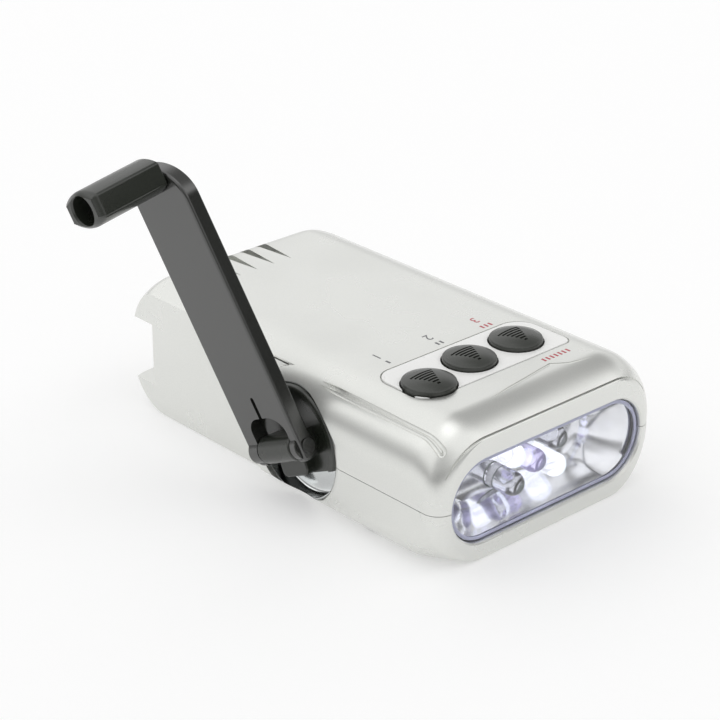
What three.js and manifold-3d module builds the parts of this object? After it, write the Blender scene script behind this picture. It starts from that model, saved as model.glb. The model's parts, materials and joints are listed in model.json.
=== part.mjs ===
import * as THREE from "three";
import { mergeVertices } from "three/addons/utils/BufferGeometryUtils.js";
import Module from "manifold-3d";

// A pocket torch with a folding hand crank, in millimetres.
// The origin is the centre of the flat base, +Z is up, the lamp faces -Y and the crank is on the -X side.

const wasm = await Module();
wasm.setup();

const quarterTurn = Math.PI / 2;
const halfTurn = Math.PI;
const fullTurn = 2 * Math.PI;

// Steps of curves: those of a rounded corner, and the sides of turned pieces
const cornerSteps = 6;
const smallCornerSteps = 3;
const roundSteps = 28;
const smallSteps = 16;

// Case: outer form, wall and parting line
const caseWidth = 62;
const caseLength = 102.5;
const caseHeight = 30.3;
const partingHeight = 13.3;
const wall = 2;
const topEdgeRadius = 12;
const bottomEdgeRadius = 7;
const frontCornerRadius = 3.8;
const rearCornerRadius = 12;
const bayCornerRadius = 10;
const noseRun = 7.5;
const noseDrop = 3.9;
const chinRadius = 1;
const tailRun = 8.5;
const tailFlat = 1.5;
const heelRadius = 12.5;
const tailDrop = caseHeight - heelRadius - tailFlat;

// Crank recess with its raised rim, and the flat bay behind it
const hubSetback = 42.9;
const recessRadius = 12.6;
const recessFloorDepth = 6.8;
const rimRadius = 15.2;
const rimFaceDepth = 1.4;
const rimLip = 2.4;
const bayDepth = 5;
const bayLip = 0.75;

// Notch that takes the stowed knob
const notchSetback = 94;
const notchDepth = 12.5;
const notchBelowParting = 6.75;
const notchAboveParting = 7.6;

// Grooves and vents in the top
const grooveWidth = 0.7;
const grooveSpacing = 1.6;
const grooveStart = 6;
const grooveLength = 32;
const ventCount = 4;
const ventPitch = 4.8;
const ventShift = -1.1;
const ventLength = 8;
const ventWidth = 1.6;
const ventDepth = 1.2;
const ventSetback = 93;

// Window, reflector and lamps
const windowWidth = 53.7;
const windowHeight = 17.9;
const windowRise = -0.25;
const windowInset = 1;
const windowFlange = 0.6;
const windowFlangeThickness = 1;
const reflectorWall = 1;
const reflectorFloorWidth = 40;
const reflectorFloorHeight = 13.2;
const lampRadius = 2.5;
const lampLength = 8.6;
const lampFlangeRadius = 2.9;
const lampFlangeThickness = 0.8;
const lampSpacing = 6;
const lampRowRise = 3.1;
const lampBoardWidth = 40;
const lampBoardHeight = 14.4;
const boardThickness = 1.6;

// Button plate and buttons
const plateWidth = 41.4;
const plateLength = 15.1;
const plateSetback = 21.25;
const plateShift = -0.5;
const plateRadius = 5;
const plateThickness = 1;
const plateProud = 0.1;
const buttonRadius = 5.65;
const buttonDome = 1.8;
const buttonProud = 0.6;
const buttonFlange = 0.65;
const buttonFlangeThickness = 1;
const buttonStemRadius = 1.8;
const buttonStemLength = 1;
const buttonTravel = 0.8;
const buttonPitch = 13.5;
const buttonMiddle = -2.1;
const buttonSetback = 21;
const buttonStagger = 0.2;
const firstButtonLead = 2.4;
const buttonPlaces = [
  { name: "button_1", shift: buttonMiddle - buttonPitch, setback: buttonSetback - firstButtonLead },
  { name: "button_2", shift: buttonMiddle, setback: buttonSetback },
  { name: "button_3", shift: buttonMiddle + buttonPitch, setback: buttonSetback + buttonStagger },
];

// Switch board, its posts, tact switches and buzzer
const switchBoardWidth = 41.5;
const switchBoardLength = 14;
const switchBoardSetback = 22;
const tactWidth = 6;
const tactHeight = 3.4;
const plungerRadius = 1.7;
const plungerHeight = 0.8;
const boardPostRadius = 1.6;
const boardPostInset = 2;
const boardPostGap = 0.7;
const boardPosts = [
  {
    shift: boardPostInset - switchBoardWidth / 2,
    setback: switchBoardSetback + switchBoardLength / 2 - boardPostInset + boardPostGap / 2,
  },
  {
    shift: switchBoardWidth / 2 - boardPostInset,
    setback: switchBoardSetback + switchBoardLength / 2 - boardPostInset + boardPostGap / 2,
  },
  {
    shift: buttonMiddle + buttonPitch / 2,
    setback: switchBoardSetback - switchBoardLength / 2 + boardPostInset - boardPostGap,
  },
];
const buzzerRadius = 7;
const buzzerHeight = 4;
const buzzerHoleRadius = 1;
const buzzerShift = 12;
const buzzerSetback = 22;

// Crank: hub, hinge, arm and knob
const crankLean = THREE.MathUtils.degToRad(25);
const armLean = THREE.MathUtils.degToRad(9.3);
const hubRadius = 12.3;
const hubFaceDepth = 1.3;
const hubThickness = 4.1;
const hubFlatDrop = 6.9;
const hubShoulderDrop = 3.6;
const hubShoulderReach = 4.8;
const hubChinProud = 1.5;
const hubChinForward = 3.6;
const hubChinCorner = 1.5;
const hingeReach = 2;
const hingeOffset = -0.26;
const hingePinRadius = 1;
const hingePinHeadRadius = 1.5;
const hingePinHeadThickness = 0.3;
const knuckleRadius = 2.9;
const armWidth = 17.4;
const armThickness = 3.4;
const armLength = 60.7;
const armTail = 2.9;
const armEnd = 2.1;
const armEyeRadius = 2.7;
const armEyeSetback = 0.85;
const armForwardRun = 11;
const armForwardDrop = 6.3;
const armRearRun = 5;
const armRearDrop = 4;
const armTailRadius = 2.4;
const forkForward = 6.3;
const forkRear = 4.9;
const forkReach = 7.5;
const forkForwardRun = 4.8;
const forkForwardDrop = 3.8;
const forkRearRun = 3.4;
const forkRearDrop = 3;
const slitWidth = 1;
const slitLength = 4.7;
const postRadius = 2;
const postLength = 10;
const knobLength = 16.9;
const knobWidth = 11;
const knobFlatHeight = 4.6;
const knobHeight = 7.8;
const knobChamfer = 1;
const knobBoreRadius = 3.1;
const knobScrewHeadRadius = 2.7;
const knobScrewHeadThickness = 1.4;
const knobScrewRadius = 0.9;
const knobScrewLength = 6;

// Recess dish, bush and crank shaft
const dishThickness = 0.6;
const dishDepth = 0.6;
const bushRadius = 4;
const bushFlangeRadius = 5.4;
const bushFlangeThickness = 0.5;
const shaftRadius = 2.5;
const shaftGrip = 3.7;

// Gear train
const toothModule = 0.5;
const mainTeeth = 40;
const wheelTeeth = 36;
const pinionTeeth = 12;
const toothHeight = 0.45;
const toothRoot = 0.62;
const toothBacklash = 0.16;
const toothSlope = Math.tan(THREE.MathUtils.degToRad(20));
const mainGearThickness = 2;
const wheelThickness = 1.5;
const pinionOverlap = 3;
const axleRadius = 1;
const gearPlateThickness = 1;
const gearPlateStart = 29.5;
const gearPlateEnd = 90.5;
const gearPlateBelow = 10;
const gearPlateAbove = 12;
const pillarRadius = 2;
const pillarInset = 2.4;

// Generator
const magnetRadius = 6;
const magnetLength = 7.5;
const coilRadius = 9.4;
const coilLength = 7;
const statorRadius = 11;
const statorWall = 1.3;
const statorLength = 9.4;

// Cells and their tray
const cellCount = 3;
const cellRadius = 7.75;
const cellThickness = 6;
const cellEdge = 0.5;
const cellShift = 4.5;
const cellSetback = 62;
const trayWall = 1.2;
const traySideRise = 6;

// Case screws
const screwRadius = 1.3;
const screwHeadRadius = 2.6;
const screwHeadThickness = 1.8;
const screwSeatHeight = 5.3;
const screwLength = 14;
const screwPostRadius = 3.6;
const screwPostTaper = 0.8;
const screwSideShift = 24;
const screwFrontSetback = 23;
const screwRearInset = 14.5;
const screwTailShift = 4.5;
const screwTailInset = 6.5;
const screwPlaces = [
  { shift: -screwSideShift, setback: screwFrontSetback },
  { shift: screwSideShift, setback: screwFrontSetback },
  { shift: screwSideShift, setback: caseLength - screwRearInset },
  { shift: -screwTailShift, setback: caseLength - screwTailInset },
];

// Clearances
const slideFit = 0.3;
const closeFit = 0.1;
const overrun = 5;
const samePlace = 0.001;

// Planes that several pieces share
const front = -caseLength / 2;
const rear = caseLength / 2;
const left = -caseWidth / 2;
const right = caseWidth / 2;
const hubY = front + hubSetback;
const roof = caseHeight - wall;
const recessFloor = left + recessFloorDepth;
const bayX = left + bayDepth;
const windowBack = front + wall + windowFlangeThickness;
const lampTip = windowBack + closeFit;
const lampBoardY = lampTip + lampLength;
const windowMiddle = partingHeight + windowRise;
const tactFoot = roof - buttonFlangeThickness - buttonStemLength - buttonTravel - 2 * closeFit
  - plungerHeight - tactHeight;
const mainGearX = recessFloor + wall + bushFlangeThickness + gearPlateThickness + 2 * slideFit;
const wheelOneX = mainGearX + mainGearThickness + 3 * slideFit;
const wheelTwoX = wheelOneX + wheelThickness + 2 * slideFit;
const rotorPinionX = wheelTwoX - slideFit;
const leftPlateX = mainGearX - slideFit - gearPlateThickness;
const rightPlateX = wheelTwoX + wheelThickness + 2 * slideFit;
const firstAxleY = hubY + toothModule * (mainTeeth + pinionTeeth) / 2;
const secondAxleY = firstAxleY + toothModule * (wheelTeeth + pinionTeeth) / 2;
const rotorY = secondAxleY + toothModule * (wheelTeeth + pinionTeeth) / 2;

function finish(color, roughness, metalness) {
  return new THREE.MeshStandardMaterial({ color, roughness, metalness, flatShading: true });
}

const silverPaint = finish(0xd8d9d4, 0.35, 0.6);
const whitePlastic = finish(0xf2f2ee, 0.4, 0);
const clearPlastic = finish(0xe8ecf6, 0.08, 0);
clearPlastic.transparent = true;
clearPlastic.opacity = 0.35;
const mirrorChrome = finish(0xf0f1f4, 0.08, 1);
const darkPlastic = finish(0x3c4239, 0.42, 0);
const armPlastic = finish(0x55574f, 0.45, 0);
const steel = finish(0xb9bbbd, 0.3, 1);
const brass = finish(0xb5954c, 0.35, 1);
const nylon = finish(0xe9e6da, 0.5, 0);
const circuitBoard = finish(0x2f6b3c, 0.55, 0);
const blackPlastic = finish(0x1f2021, 0.5, 0);
const ferrite = finish(0x3a3a3d, 0.6, 0.2);
const copper = finish(0xb4683a, 0.35, 1);
const cellJacket = finish(0xc9cbce, 0.3, 0.9);

// Closed mesh of a three.js geometry as a solid, with its faces turned outwards
function solidOf(geometry) {
  const bare = new THREE.BufferGeometry();
  bare.setAttribute("position", geometry.getAttribute("position"));
  bare.setIndex(geometry.getIndex());
  const merged = mergeVertices(bare);
  const vertProperties = Float32Array.from(merged.getAttribute("position").array);
  const corners = [0, 0, 0].map(() => new THREE.Vector3());
  const faces = [];
  let volume = 0;
  const index = merged.getIndex();
  for (let i = 0; i < index.count; i += corners.length) {
    const face = corners.map((corner, k) => index.getX(i + k));
    if (new Set(face).size === corners.length) {
      faces.push(...face);
      corners.forEach((corner, k) => corner.fromArray(vertProperties, face[k] * corners.length));
      volume += corners[0].dot(corners[1].clone().cross(corners[2]));
    }
  }
  if (volume < 0) {
    faces.reverse();
  }
  const mesh = new wasm.Mesh({ numProp: 3, vertProperties, triVerts: Uint32Array.from(faces) });
  return new wasm.Manifold(mesh);
}

function geometryOf(solid) {
  const mesh = solid.getMesh();
  const geometry = new THREE.BufferGeometry();
  geometry.setAttribute("position", new THREE.BufferAttribute(Float32Array.from(mesh.vertProperties), 3));
  geometry.setIndex(new THREE.BufferAttribute(Uint32Array.from(mesh.triVerts), 1));
  return geometry;
}

function box(x0, x1, y0, y1, z0, z1) {
  const geometry = new THREE.BoxGeometry(x1 - x0, y1 - y0, z1 - z0);
  geometry.translate((x0 + x1) / 2, (y0 + y1) / 2, (z0 + z1) / 2);
  return solidOf(geometry);
}

// Round bars along each axis, from one end to the other, with a flat and not an edge on each axis plane
function barX(radius, x0, x1, y = 0, z = 0, steps = smallSteps) {
  const geometry = new THREE.CylinderGeometry(radius, radius, x1 - x0, steps);
  geometry.rotateY(halfTurn / steps);
  geometry.rotateZ(quarterTurn);
  geometry.translate((x0 + x1) / 2, y, z);
  return solidOf(geometry);
}

function barY(radius, y0, y1, x = 0, z = 0, steps = smallSteps) {
  const geometry = new THREE.CylinderGeometry(radius, radius, y1 - y0, steps);
  geometry.rotateY(halfTurn / steps);
  geometry.translate(x, (y0 + y1) / 2, z);
  return solidOf(geometry);
}

function barZ(radius, z0, z1, x = 0, y = 0, steps = smallSteps) {
  const geometry = new THREE.CylinderGeometry(radius, radius, z1 - z0, steps);
  geometry.rotateY(halfTurn / steps);
  geometry.rotateX(quarterTurn);
  geometry.translate(x, y, (z0 + z1) / 2);
  return solidOf(geometry);
}

// Extruded outlines: drawn in (y, z) for X, in (x, z) for Y and in (x, y) for Z
function extruded(shape, depth) {
  return new THREE.ExtrudeGeometry(shape, { depth, bevelEnabled: false, curveSegments: smallCornerSteps });
}

function prismX(shape, x0, x1) {
  const geometry = extruded(shape, x1 - x0);
  const turn = new THREE.Matrix4().makeBasis(
    new THREE.Vector3(0, 1, 0), new THREE.Vector3(0, 0, 1), new THREE.Vector3(1, 0, 0));
  geometry.applyMatrix4(turn);
  geometry.translate(x0, 0, 0);
  return solidOf(geometry);
}

function prismY(shape, y0, y1) {
  const geometry = extruded(shape, y1 - y0);
  geometry.rotateX(quarterTurn);
  geometry.translate(0, y1, 0);
  return solidOf(geometry);
}

function prismZ(shape, z0, z1) {
  const geometry = extruded(shape, z1 - z0);
  geometry.translate(0, 0, z0);
  return solidOf(geometry);
}

// Turned piece about the Z axis from [radius, height] points
function turned(points, steps = smallSteps) {
  const geometry = new THREE.LatheGeometry(points.map(([r, h]) => new THREE.Vector2(r, h)), steps);
  geometry.rotateX(quarterTurn);
  return solidOf(geometry);
}

// Rectangle whose corners are quarter ellipses, from the lower right corner round to the lower left one
function roundedPoints(x0, x1, y0, y1, corners, steps) {
  const places = [[x1, y0], [x1, y1], [x0, y1], [x0, y0]];
  const points = places.flatMap(([x, y], i) => {
    const [runX, runY] = corners[i];
    if (runX <= 0 || runY <= 0) {
      return [new THREE.Vector2(x, y)];
    }
    const centreX = x === x1 ? x - runX : x + runX;
    const centreY = y === y1 ? y - runY : y + runY;
    return Array.from({ length: steps + 1 }, (_, k) => {
      const angle = (i - 1 + k / steps) * quarterTurn;
      return new THREE.Vector2(centreX + runX * Math.cos(angle), centreY + runY * Math.sin(angle));
    });
  });
  return points.filter((p, i) => p.distanceTo(points[(i + 1) % points.length]) > samePlace);
}

function roundedOutline(x0, x1, y0, y1, corners, steps = smallCornerSteps) {
  return new THREE.Shape(roundedPoints(x0, x1, y0, y1, corners, steps));
}

function evenOutline(x0, x1, y0, y1, radius, steps = smallCornerSteps) {
  return roundedOutline(x0, x1, y0, y1, [0, 1, 2, 3].map(() => [radius, radius]), steps);
}

// Straight-sided body between two outlines of as many points, both lying across Y
function loftY(outlineA, yA, outlineB, yB) {
  const count = outlineA.length;
  const points = [];
  outlineA.forEach((p) => points.push(p.x, yA, p.y));
  outlineB.forEach((p) => points.push(p.x, yB, p.y));
  const faces = [];
  for (let i = 0; i < count; i += 1) {
    const next = (i + 1) % count;
    faces.push(i, next, count + next, i, count + next, count + i);
  }
  for (let i = 1; i < count - 1; i += 1) {
    faces.push(0, i + 1, i, count, count + i, count + i + 1);
  }
  const geometry = new THREE.BufferGeometry();
  geometry.setAttribute("position", new THREE.Float32BufferAttribute(points, 3));
  geometry.setIndex(faces);
  return solidOf(geometry);
}

function stadiumPoints(width, height) {
  const end = [height / 2, height / 2];
  return roundedPoints(-width / 2, width / 2, windowMiddle - height / 2, windowMiddle + height / 2,
    [end, end, end, end], smallCornerSteps);
}

function stadiumPrism(width, height, y0, y1) {
  return prismY(new THREE.Shape(stadiumPoints(width, height)), y0, y1);
}

// Full form of the case, shrunk all round by the inset
function caseForm(inset) {
  const round = (radius) => [Math.max(radius - inset, 0), Math.max(radius - inset, 0)];
  const section = roundedOutline(left + inset, right - inset, inset, caseHeight - inset,
    [round(bottomEdgeRadius), round(topEdgeRadius), round(topEdgeRadius), round(bottomEdgeRadius)],
    cornerSteps);
  const side = roundedOutline(front + inset, rear - inset, inset, caseHeight - inset,
    [round(heelRadius), [tailRun - inset, tailDrop - inset], [noseRun - inset, noseDrop - inset],
      round(chinRadius)], cornerSteps);
  const plan = roundedOutline(left + inset, right - inset, front + inset, rear - inset,
    [round(frontCornerRadius), round(rearCornerRadius), round(bayCornerRadius), round(frontCornerRadius)],
    cornerSteps);
  return prismY(section, front, rear)
    .intersect(prismX(side, left, right))
    .intersect(prismZ(plan, 0, caseHeight));
}

// Space that the stowed knob uses, or that space with its walls
function notchBlock(margin) {
  return box(left - overrun, bayX + notchDepth + margin, front + notchSetback - margin, rear + overrun,
    partingHeight - notchBelowParting - margin, partingHeight + notchAboveParting + margin);
}

function recessBore(radius, floor) {
  return barX(radius, left - overrun, floor, hubY, partingHeight, roundSteps);
}

function bayBlock(margin) {
  return box(left - overrun, bayX + margin, hubY, rear + overrun, -overrun, caseHeight + overrun);
}

// Ring that the bay leaves standing round the recess
function caseRim() {
  return barX(rimRadius, left + rimFaceDepth, recessFloor + wall, hubY, partingHeight, roundSteps);
}

// The recess opens outwards with a rounded lip
function recessMouth() {
  const lipFoot = left + rimLip;
  const points = [[0, 0], [recessRadius, 0]];
  for (let i = 1; i <= smallCornerSteps; i += 1) {
    const angle = (i / smallCornerSteps) * quarterTurn;
    points.push([recessRadius + rimLip * (1 - Math.cos(angle)), rimLip * Math.sin(angle)]);
  }
  points.push([recessRadius + rimLip, rimLip + overrun], [0, rimLip + overrun]);
  return turned(points, roundSteps)
    .rotate([0, THREE.MathUtils.radToDeg(-quarterTurn), 0])
    .translate([lipFoot, hubY, partingHeight]);
}

function caseOutside() {
  return caseForm(0)
    .subtract(bayBlock(0).subtract(caseRim()))
    .subtract(recessBore(recessRadius, recessFloor))
    .subtract(recessMouth())
    .subtract(notchBlock(0));
}

function caseInside() {
  return caseForm(wall)
    .subtract(bayBlock(wall))
    .subtract(recessBore(recessRadius + wall, recessFloor + wall))
    .subtract(notchBlock(wall));
}

// Twin grooves that run forward along the shoulder where the bay's crease would go
function grooveCuts() {
  const shoulderX = left + topEdgeRadius;
  const shoulderZ = caseHeight - topEdgeRadius;
  const creaseAngle = Math.acos((topEdgeRadius - bayDepth) / topEdgeRadius);
  const spacingAngle = grooveSpacing / topEdgeRadius;
  const groove = box(-grooveWidth / 2, grooveWidth / 2,
    front + grooveStart, front + grooveStart + grooveLength, topEdgeRadius - grooveWidth, topEdgeRadius + overrun);
  const cuts = [creaseAngle, creaseAngle - spacingAngle].map((angle) => {
    const lean = THREE.MathUtils.radToDeg(angle - quarterTurn);
    return groove.rotate([0, lean, 0]).translate([shoulderX, 0, shoulderZ]);
  });
  return cuts[0].add(cuts[1]);
}

// Tapering slots that end at the rear of the flat top
function ventCuts() {
  let cuts = null;
  for (let i = 0; i < ventCount; i += 1) {
    const middle = ventShift + (i - (ventCount - 1) / 2) * ventPitch;
    const shape = new THREE.Shape();
    shape.moveTo(middle, front + ventSetback - ventLength);
    shape.lineTo(middle + ventWidth / 2, front + ventSetback);
    shape.lineTo(middle - ventWidth / 2, front + ventSetback);
    const cut = prismZ(shape, caseHeight - ventDepth, caseHeight + overrun);
    cuts = cuts ? cuts.add(cut) : cut;
  }
  return cuts;
}

function plateOutline(margin) {
  return evenOutline(plateShift - plateWidth / 2 - margin, plateShift + plateWidth / 2 + margin,
    front + plateSetback - plateLength / 2 - margin, front + plateSetback + plateLength / 2 + margin,
    plateRadius + margin);
}

function buttonColumns(radius, z0, z1) {
  return buttonPlaces
    .map((place) => barZ(radius, z0, z1, place.shift, front + place.setback, roundSteps))
    .reduce((all, column) => all.add(column));
}

// Holes through the roof, with room under it for the flanges
function buttonHoles() {
  const flangeRoom = buttonColumns(buttonRadius + buttonFlange + slideFit, roof - overrun, roof);
  return buttonColumns(buttonRadius + slideFit, 0, caseHeight + overrun).add(flangeRoom);
}

// The lower shell reaches up round the bay and the notch
function lowerZone() {
  const bayTop = caseHeight - topEdgeRadius - bayLip
    + Math.sqrt(topEdgeRadius ** 2 - (topEdgeRadius - bayDepth) ** 2);
  const base = box(left - overrun, right + overrun, front - overrun, rear + overrun,
    -overrun, partingHeight);
  const bayWall = box(left - overrun, bayX + wall + closeFit, hubY + rimRadius, rear + overrun, 0, bayTop);
  const notchWall = box(left - overrun, bayX + notchDepth + wall + closeFit,
    front + notchSetback - wall - closeFit, rear + overrun, 0,
    partingHeight + notchAboveParting + wall + closeFit);
  return base.add(bayWall).add(notchWall);
}

// Hollow shell whose posts and ribs are left standing in the cavity
function caseShell(inner) {
  const windowCut = stadiumPrism(windowWidth, windowHeight, front - overrun, front + overrun);
  const bushHole = barX(bushRadius + closeFit, recessFloor - overrun, recessFloor + overrun,
    hubY, partingHeight);
  return caseOutside()
    .subtract(caseInside().subtract(inner))
    .subtract(windowCut)
    .subtract(bushHole)
    .subtract(grooveCuts())
    .subtract(ventCuts());
}

function screwPosts(z0, z1, radius) {
  return screwPlaces
    .map((place) => barZ(radius, z0, z1, place.shift, front + place.setback))
    .reduce((all, post) => all.add(post));
}

function upperShell() {
  const posts = screwPosts(0, caseHeight, screwPostRadius - screwPostTaper);
  const pilots = screwPosts(0, screwSeatHeight + screwLength + overrun / 2, screwRadius + closeFit);
  const boardTop = tactFoot;
  const hangers = boardPosts
    .map((place) => barZ(boardPostRadius, boardTop, caseHeight, place.shift, front + place.setback))
    .reduce((all, post) => all.add(post));
  const plateSeat = prismZ(plateOutline(closeFit), caseHeight + plateProud - plateThickness,
    caseHeight + overrun);
  return caseShell(posts.add(hangers))
    .subtract(lowerZone())
    .subtract(pilots)
    .subtract(plateSeat)
    .subtract(buttonHoles());
}

// Ribs that carry the lamp board and the gear plates
function lowerRibs() {
  const boardRib = box(-lampBoardWidth / 2, lampBoardWidth / 2, lampBoardY - wall / 2,
    lampBoardY + boardThickness + wall / 2, 0, windowMiddle - lampBoardHeight / 2);
  const plateStarts = [front + gearPlateStart, front + gearPlateEnd - 2 * wall];
  return plateStarts
    .map((y) => box(leftPlateX, rightPlateX + gearPlateThickness, y, y + 2 * wall, 0,
      partingHeight - gearPlateBelow))
    .reduce((all, rib) => all.add(rib), boardRib);
}

function lowerShell() {
  const posts = screwPosts(0, caseHeight, screwPostRadius);
  const heads = screwPosts(-overrun, screwSeatHeight, screwHeadRadius + slideFit);
  const holes = screwPosts(0, caseHeight, screwRadius + slideFit);
  return caseShell(posts.add(lowerRibs()))
    .intersect(lowerZone())
    .subtract(heads)
    .subtract(holes.intersect(box(left, right, front, rear, 0, partingHeight + closeFit)));
}

function lampWindow() {
  const plug = stadiumPrism(windowWidth - 2 * closeFit, windowHeight - 2 * closeFit, front + windowInset,
    windowBack);
  const flange = stadiumPrism(windowWidth + 2 * windowFlange, windowHeight + 2 * windowFlange, front + wall,
    windowBack);
  return plug.add(flange);
}

function lampCentres() {
  const rows = [-1, 1].flatMap((side) => [-1, 1].map((row) => [side * lampSpacing, row * lampRowRise]));
  return [[0, 0], ...rows];
}

function reflector() {
  const back = lampBoardY - lampFlangeThickness - closeFit;
  const rim = stadiumPoints(windowWidth, windowHeight);
  const rimInside = stadiumPoints(windowWidth - reflectorWall, windowHeight - reflectorWall);
  const foot = stadiumPoints(reflectorFloorWidth, reflectorFloorHeight);
  const footInside = stadiumPoints(reflectorFloorWidth - 2 * reflectorWall,
    reflectorFloorHeight - 2 * reflectorWall);
  const lampHoles = lampCentres()
    .map(([x, z]) => barY(lampRadius + slideFit, windowBack, back + overrun, x, windowMiddle + z))
    .reduce((all, hole) => all.add(hole));
  return loftY(rim, windowBack, foot, back)
    .subtract(loftY(rimInside, windowBack, footInside, back - reflectorWall))
    .subtract(lampHoles);
}

// Stands on its flange at the origin, dome up
function lamp() {
  const domeFoot = lampLength - lampRadius;
  const points = [[0, 0], [lampFlangeRadius, 0], [lampFlangeRadius, lampFlangeThickness],
    [lampRadius, lampFlangeThickness], [lampRadius, domeFoot]];
  for (let i = 1; i <= smallCornerSteps; i += 1) {
    const angle = (i / smallCornerSteps) * quarterTurn;
    const radius = i === smallCornerSteps ? 0 : lampRadius * Math.cos(angle);
    points.push([radius, domeFoot + lampRadius * Math.sin(angle)]);
  }
  return turned(points);
}

function lampBoard() {
  return box(-lampBoardWidth / 2, lampBoardWidth / 2, lampBoardY, lampBoardY + boardThickness,
    windowMiddle - lampBoardHeight / 2, windowMiddle + lampBoardHeight / 2);
}

function buttonPlate() {
  const top = caseHeight + plateProud;
  return prismZ(plateOutline(0), top - plateThickness, top).subtract(buttonHoles());
}

// Origin at the top of the flange, which bears on the underside of the roof
function button() {
  const shoulder = wall + buttonProud;
  const points = [[0, -buttonFlangeThickness - buttonStemLength],
    [buttonStemRadius, -buttonFlangeThickness - buttonStemLength],
    [buttonStemRadius, -buttonFlangeThickness],
    [buttonRadius + buttonFlange, -buttonFlangeThickness], [buttonRadius + buttonFlange, 0],
    [buttonRadius, 0], [buttonRadius, shoulder]];
  for (let i = 1; i <= smallCornerSteps; i += 1) {
    const angle = (i / smallCornerSteps) * quarterTurn;
    const radius = i === smallCornerSteps ? 0 : buttonRadius * Math.cos(angle);
    points.push([radius, shoulder + buttonDome * Math.sin(angle)]);
  }
  return turned(points, roundSteps);
}

function switchBoard() {
  const y = front + switchBoardSetback;
  return box(-switchBoardWidth / 2, switchBoardWidth / 2, y - switchBoardLength / 2,
    y + switchBoardLength / 2, tactFoot - boardThickness, tactFoot);
}

// Stands at the origin on the board
function tactSwitch() {
  const half = tactWidth / 2;
  return box(-half, half, -half, half, 0, tactHeight)
    .add(barZ(plungerRadius, tactHeight - closeFit, tactHeight + plungerHeight));
}

// Hangs from the origin, under the board
function buzzer() {
  return barZ(buzzerRadius, -buzzerHeight, 0, 0, 0, roundSteps)
    .subtract(barZ(buzzerHoleRadius, -buzzerHeight - overrun, -buzzerHeight / 2));
}

// Shallow silver cup on the floor of the recess, drawn about Z and laid along X when placed
function recessDish() {
  const edge = recessRadius - slideFit;
  const bore = bushRadius + slideFit;
  return turned([[bore, 0], [bore, dishThickness], [edge - dishDepth, dishThickness],
    [edge - dishThickness, dishThickness + dishDepth], [edge, dishThickness + dishDepth],
    [edge, 0], [bore, 0]],
  roundSteps);
}

function crankBush() {
  const inner = recessFloor + wall;
  return barX(bushRadius, recessFloor, inner + bushFlangeThickness, hubY, partingHeight)
    .add(barX(bushFlangeRadius, inner, inner + bushFlangeThickness, hubY, partingHeight))
    .subtract(barX(shaftRadius + closeFit, recessFloor - overrun, inner + overrun, hubY, partingHeight));
}

// The crank's pieces are drawn with the arm straight up, Z along the arm, X towards the case,
// and the hub's axis at the origin. The crank's group leans them back.
const hubFaceX = left + hubFaceDepth;
const hubBackX = hubFaceX + hubThickness;
const hingeX = left - hingeReach;
const tailSweep = Math.hypot(armTail, armThickness / 2) + slideFit;

function crankHub() {
  const barrelStart = slideFit - forkForward;
  const barrelEnd = forkRear - slideFit;
  const below = -hubRadius - overrun;
  const disc = barX(hubRadius, hubFaceX, hubBackX, 0, 0, roundSteps)
    .subtract(box(left - overrun, 0, -hubRadius - overrun, hubRadius + overrun, below, -hubFlatDrop))
    .subtract(box(left - overrun, 0, hubShoulderReach, hubRadius + overrun, below, -hubShoulderDrop));
  const forkSpace = armWidth / 2 + slideFit;
  const troughs = barY(tailSweep, -forkSpace, barrelStart, hingeX, hingeOffset, roundSteps)
    .add(barY(tailSweep, barrelEnd, forkSpace, hingeX, hingeOffset, roundSteps));
  const barrel = barY(knuckleRadius, barrelStart, barrelEnd, hingeX, hingeOffset, roundSteps)
    .add(box(hingeX, hubFaceX + closeFit, barrelStart, barrelEnd, hingeOffset - knuckleRadius,
      hingeOffset + knuckleRadius));
  const corner = [hubChinCorner, hubChinCorner];
  const chin = prismX(roundedOutline(-hubChinForward, hubShoulderReach, -hubFlatDrop, hingeOffset,
    [corner, [0, 0], [0, 0], corner]), hubFaceX - hubChinProud, hubBackX);
  const pinBore = barY(hingePinRadius + slideFit, -armWidth, armWidth, hingeX, hingeOffset);
  const shaftBore = barX(shaftRadius + closeFit, hubBackX - shaftGrip - closeFit, hubBackX + overrun);
  return disc.subtract(troughs).add(barrel).add(chin).subtract(pinBore).subtract(shaftBore);
}

// Drawn about the Y axis at the origin, head towards the lamp
function hingePin() {
  const headFace = -armWidth / 2 - slideFit;
  return barY(hingePinRadius, headFace, armWidth / 2)
    .add(barY(hingePinHeadRadius, headFace - hingePinHeadThickness, headFace + closeFit));
}

// The arm's pieces are drawn from the hinge, with Z along the arm and the outer face towards -X
function crankArm() {
  const half = armWidth / 2;
  const outer = -armThickness / 2;
  const inner = armThickness / 2;
  const plate = roundedOutline(-half, half, -armTail, armLength + armEnd,
    [[armTailRadius, armTailRadius], [armRearRun, armRearDrop], [armForwardRun, armForwardDrop],
      [0, 0]]);
  const forkCut = roundedOutline(-forkForward, forkRear, -armTail - overrun, forkReach,
    [[0, 0], [forkRearRun, forkRearDrop], [forkForwardRun, forkForwardDrop], [0, 0]]);
  const slit = box(outer - overrun, inner + overrun, -slitWidth / 2, slitWidth / 2,
    0, forkReach + slitLength);
  const eyes = barY(armEyeRadius, armEyeSetback - half, -forkForward, 0, 0, roundSteps)
    .add(barY(armEyeRadius, forkRear, half - armEyeSetback, 0, 0, roundSteps));
  return prismX(plate, outer, inner)
    .subtract(prismX(forkCut, outer - overrun, inner + overrun))
    .subtract(slit)
    .add(eyes)
    .subtract(barY(hingePinRadius + slideFit, -armWidth, armWidth))
    .add(barX(postRadius, outer - postLength, outer + closeFit, 0, armLength))
    .subtract(barX(knobScrewRadius + closeFit, outer - postLength - overrun, outer, 0, armLength));
}

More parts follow.
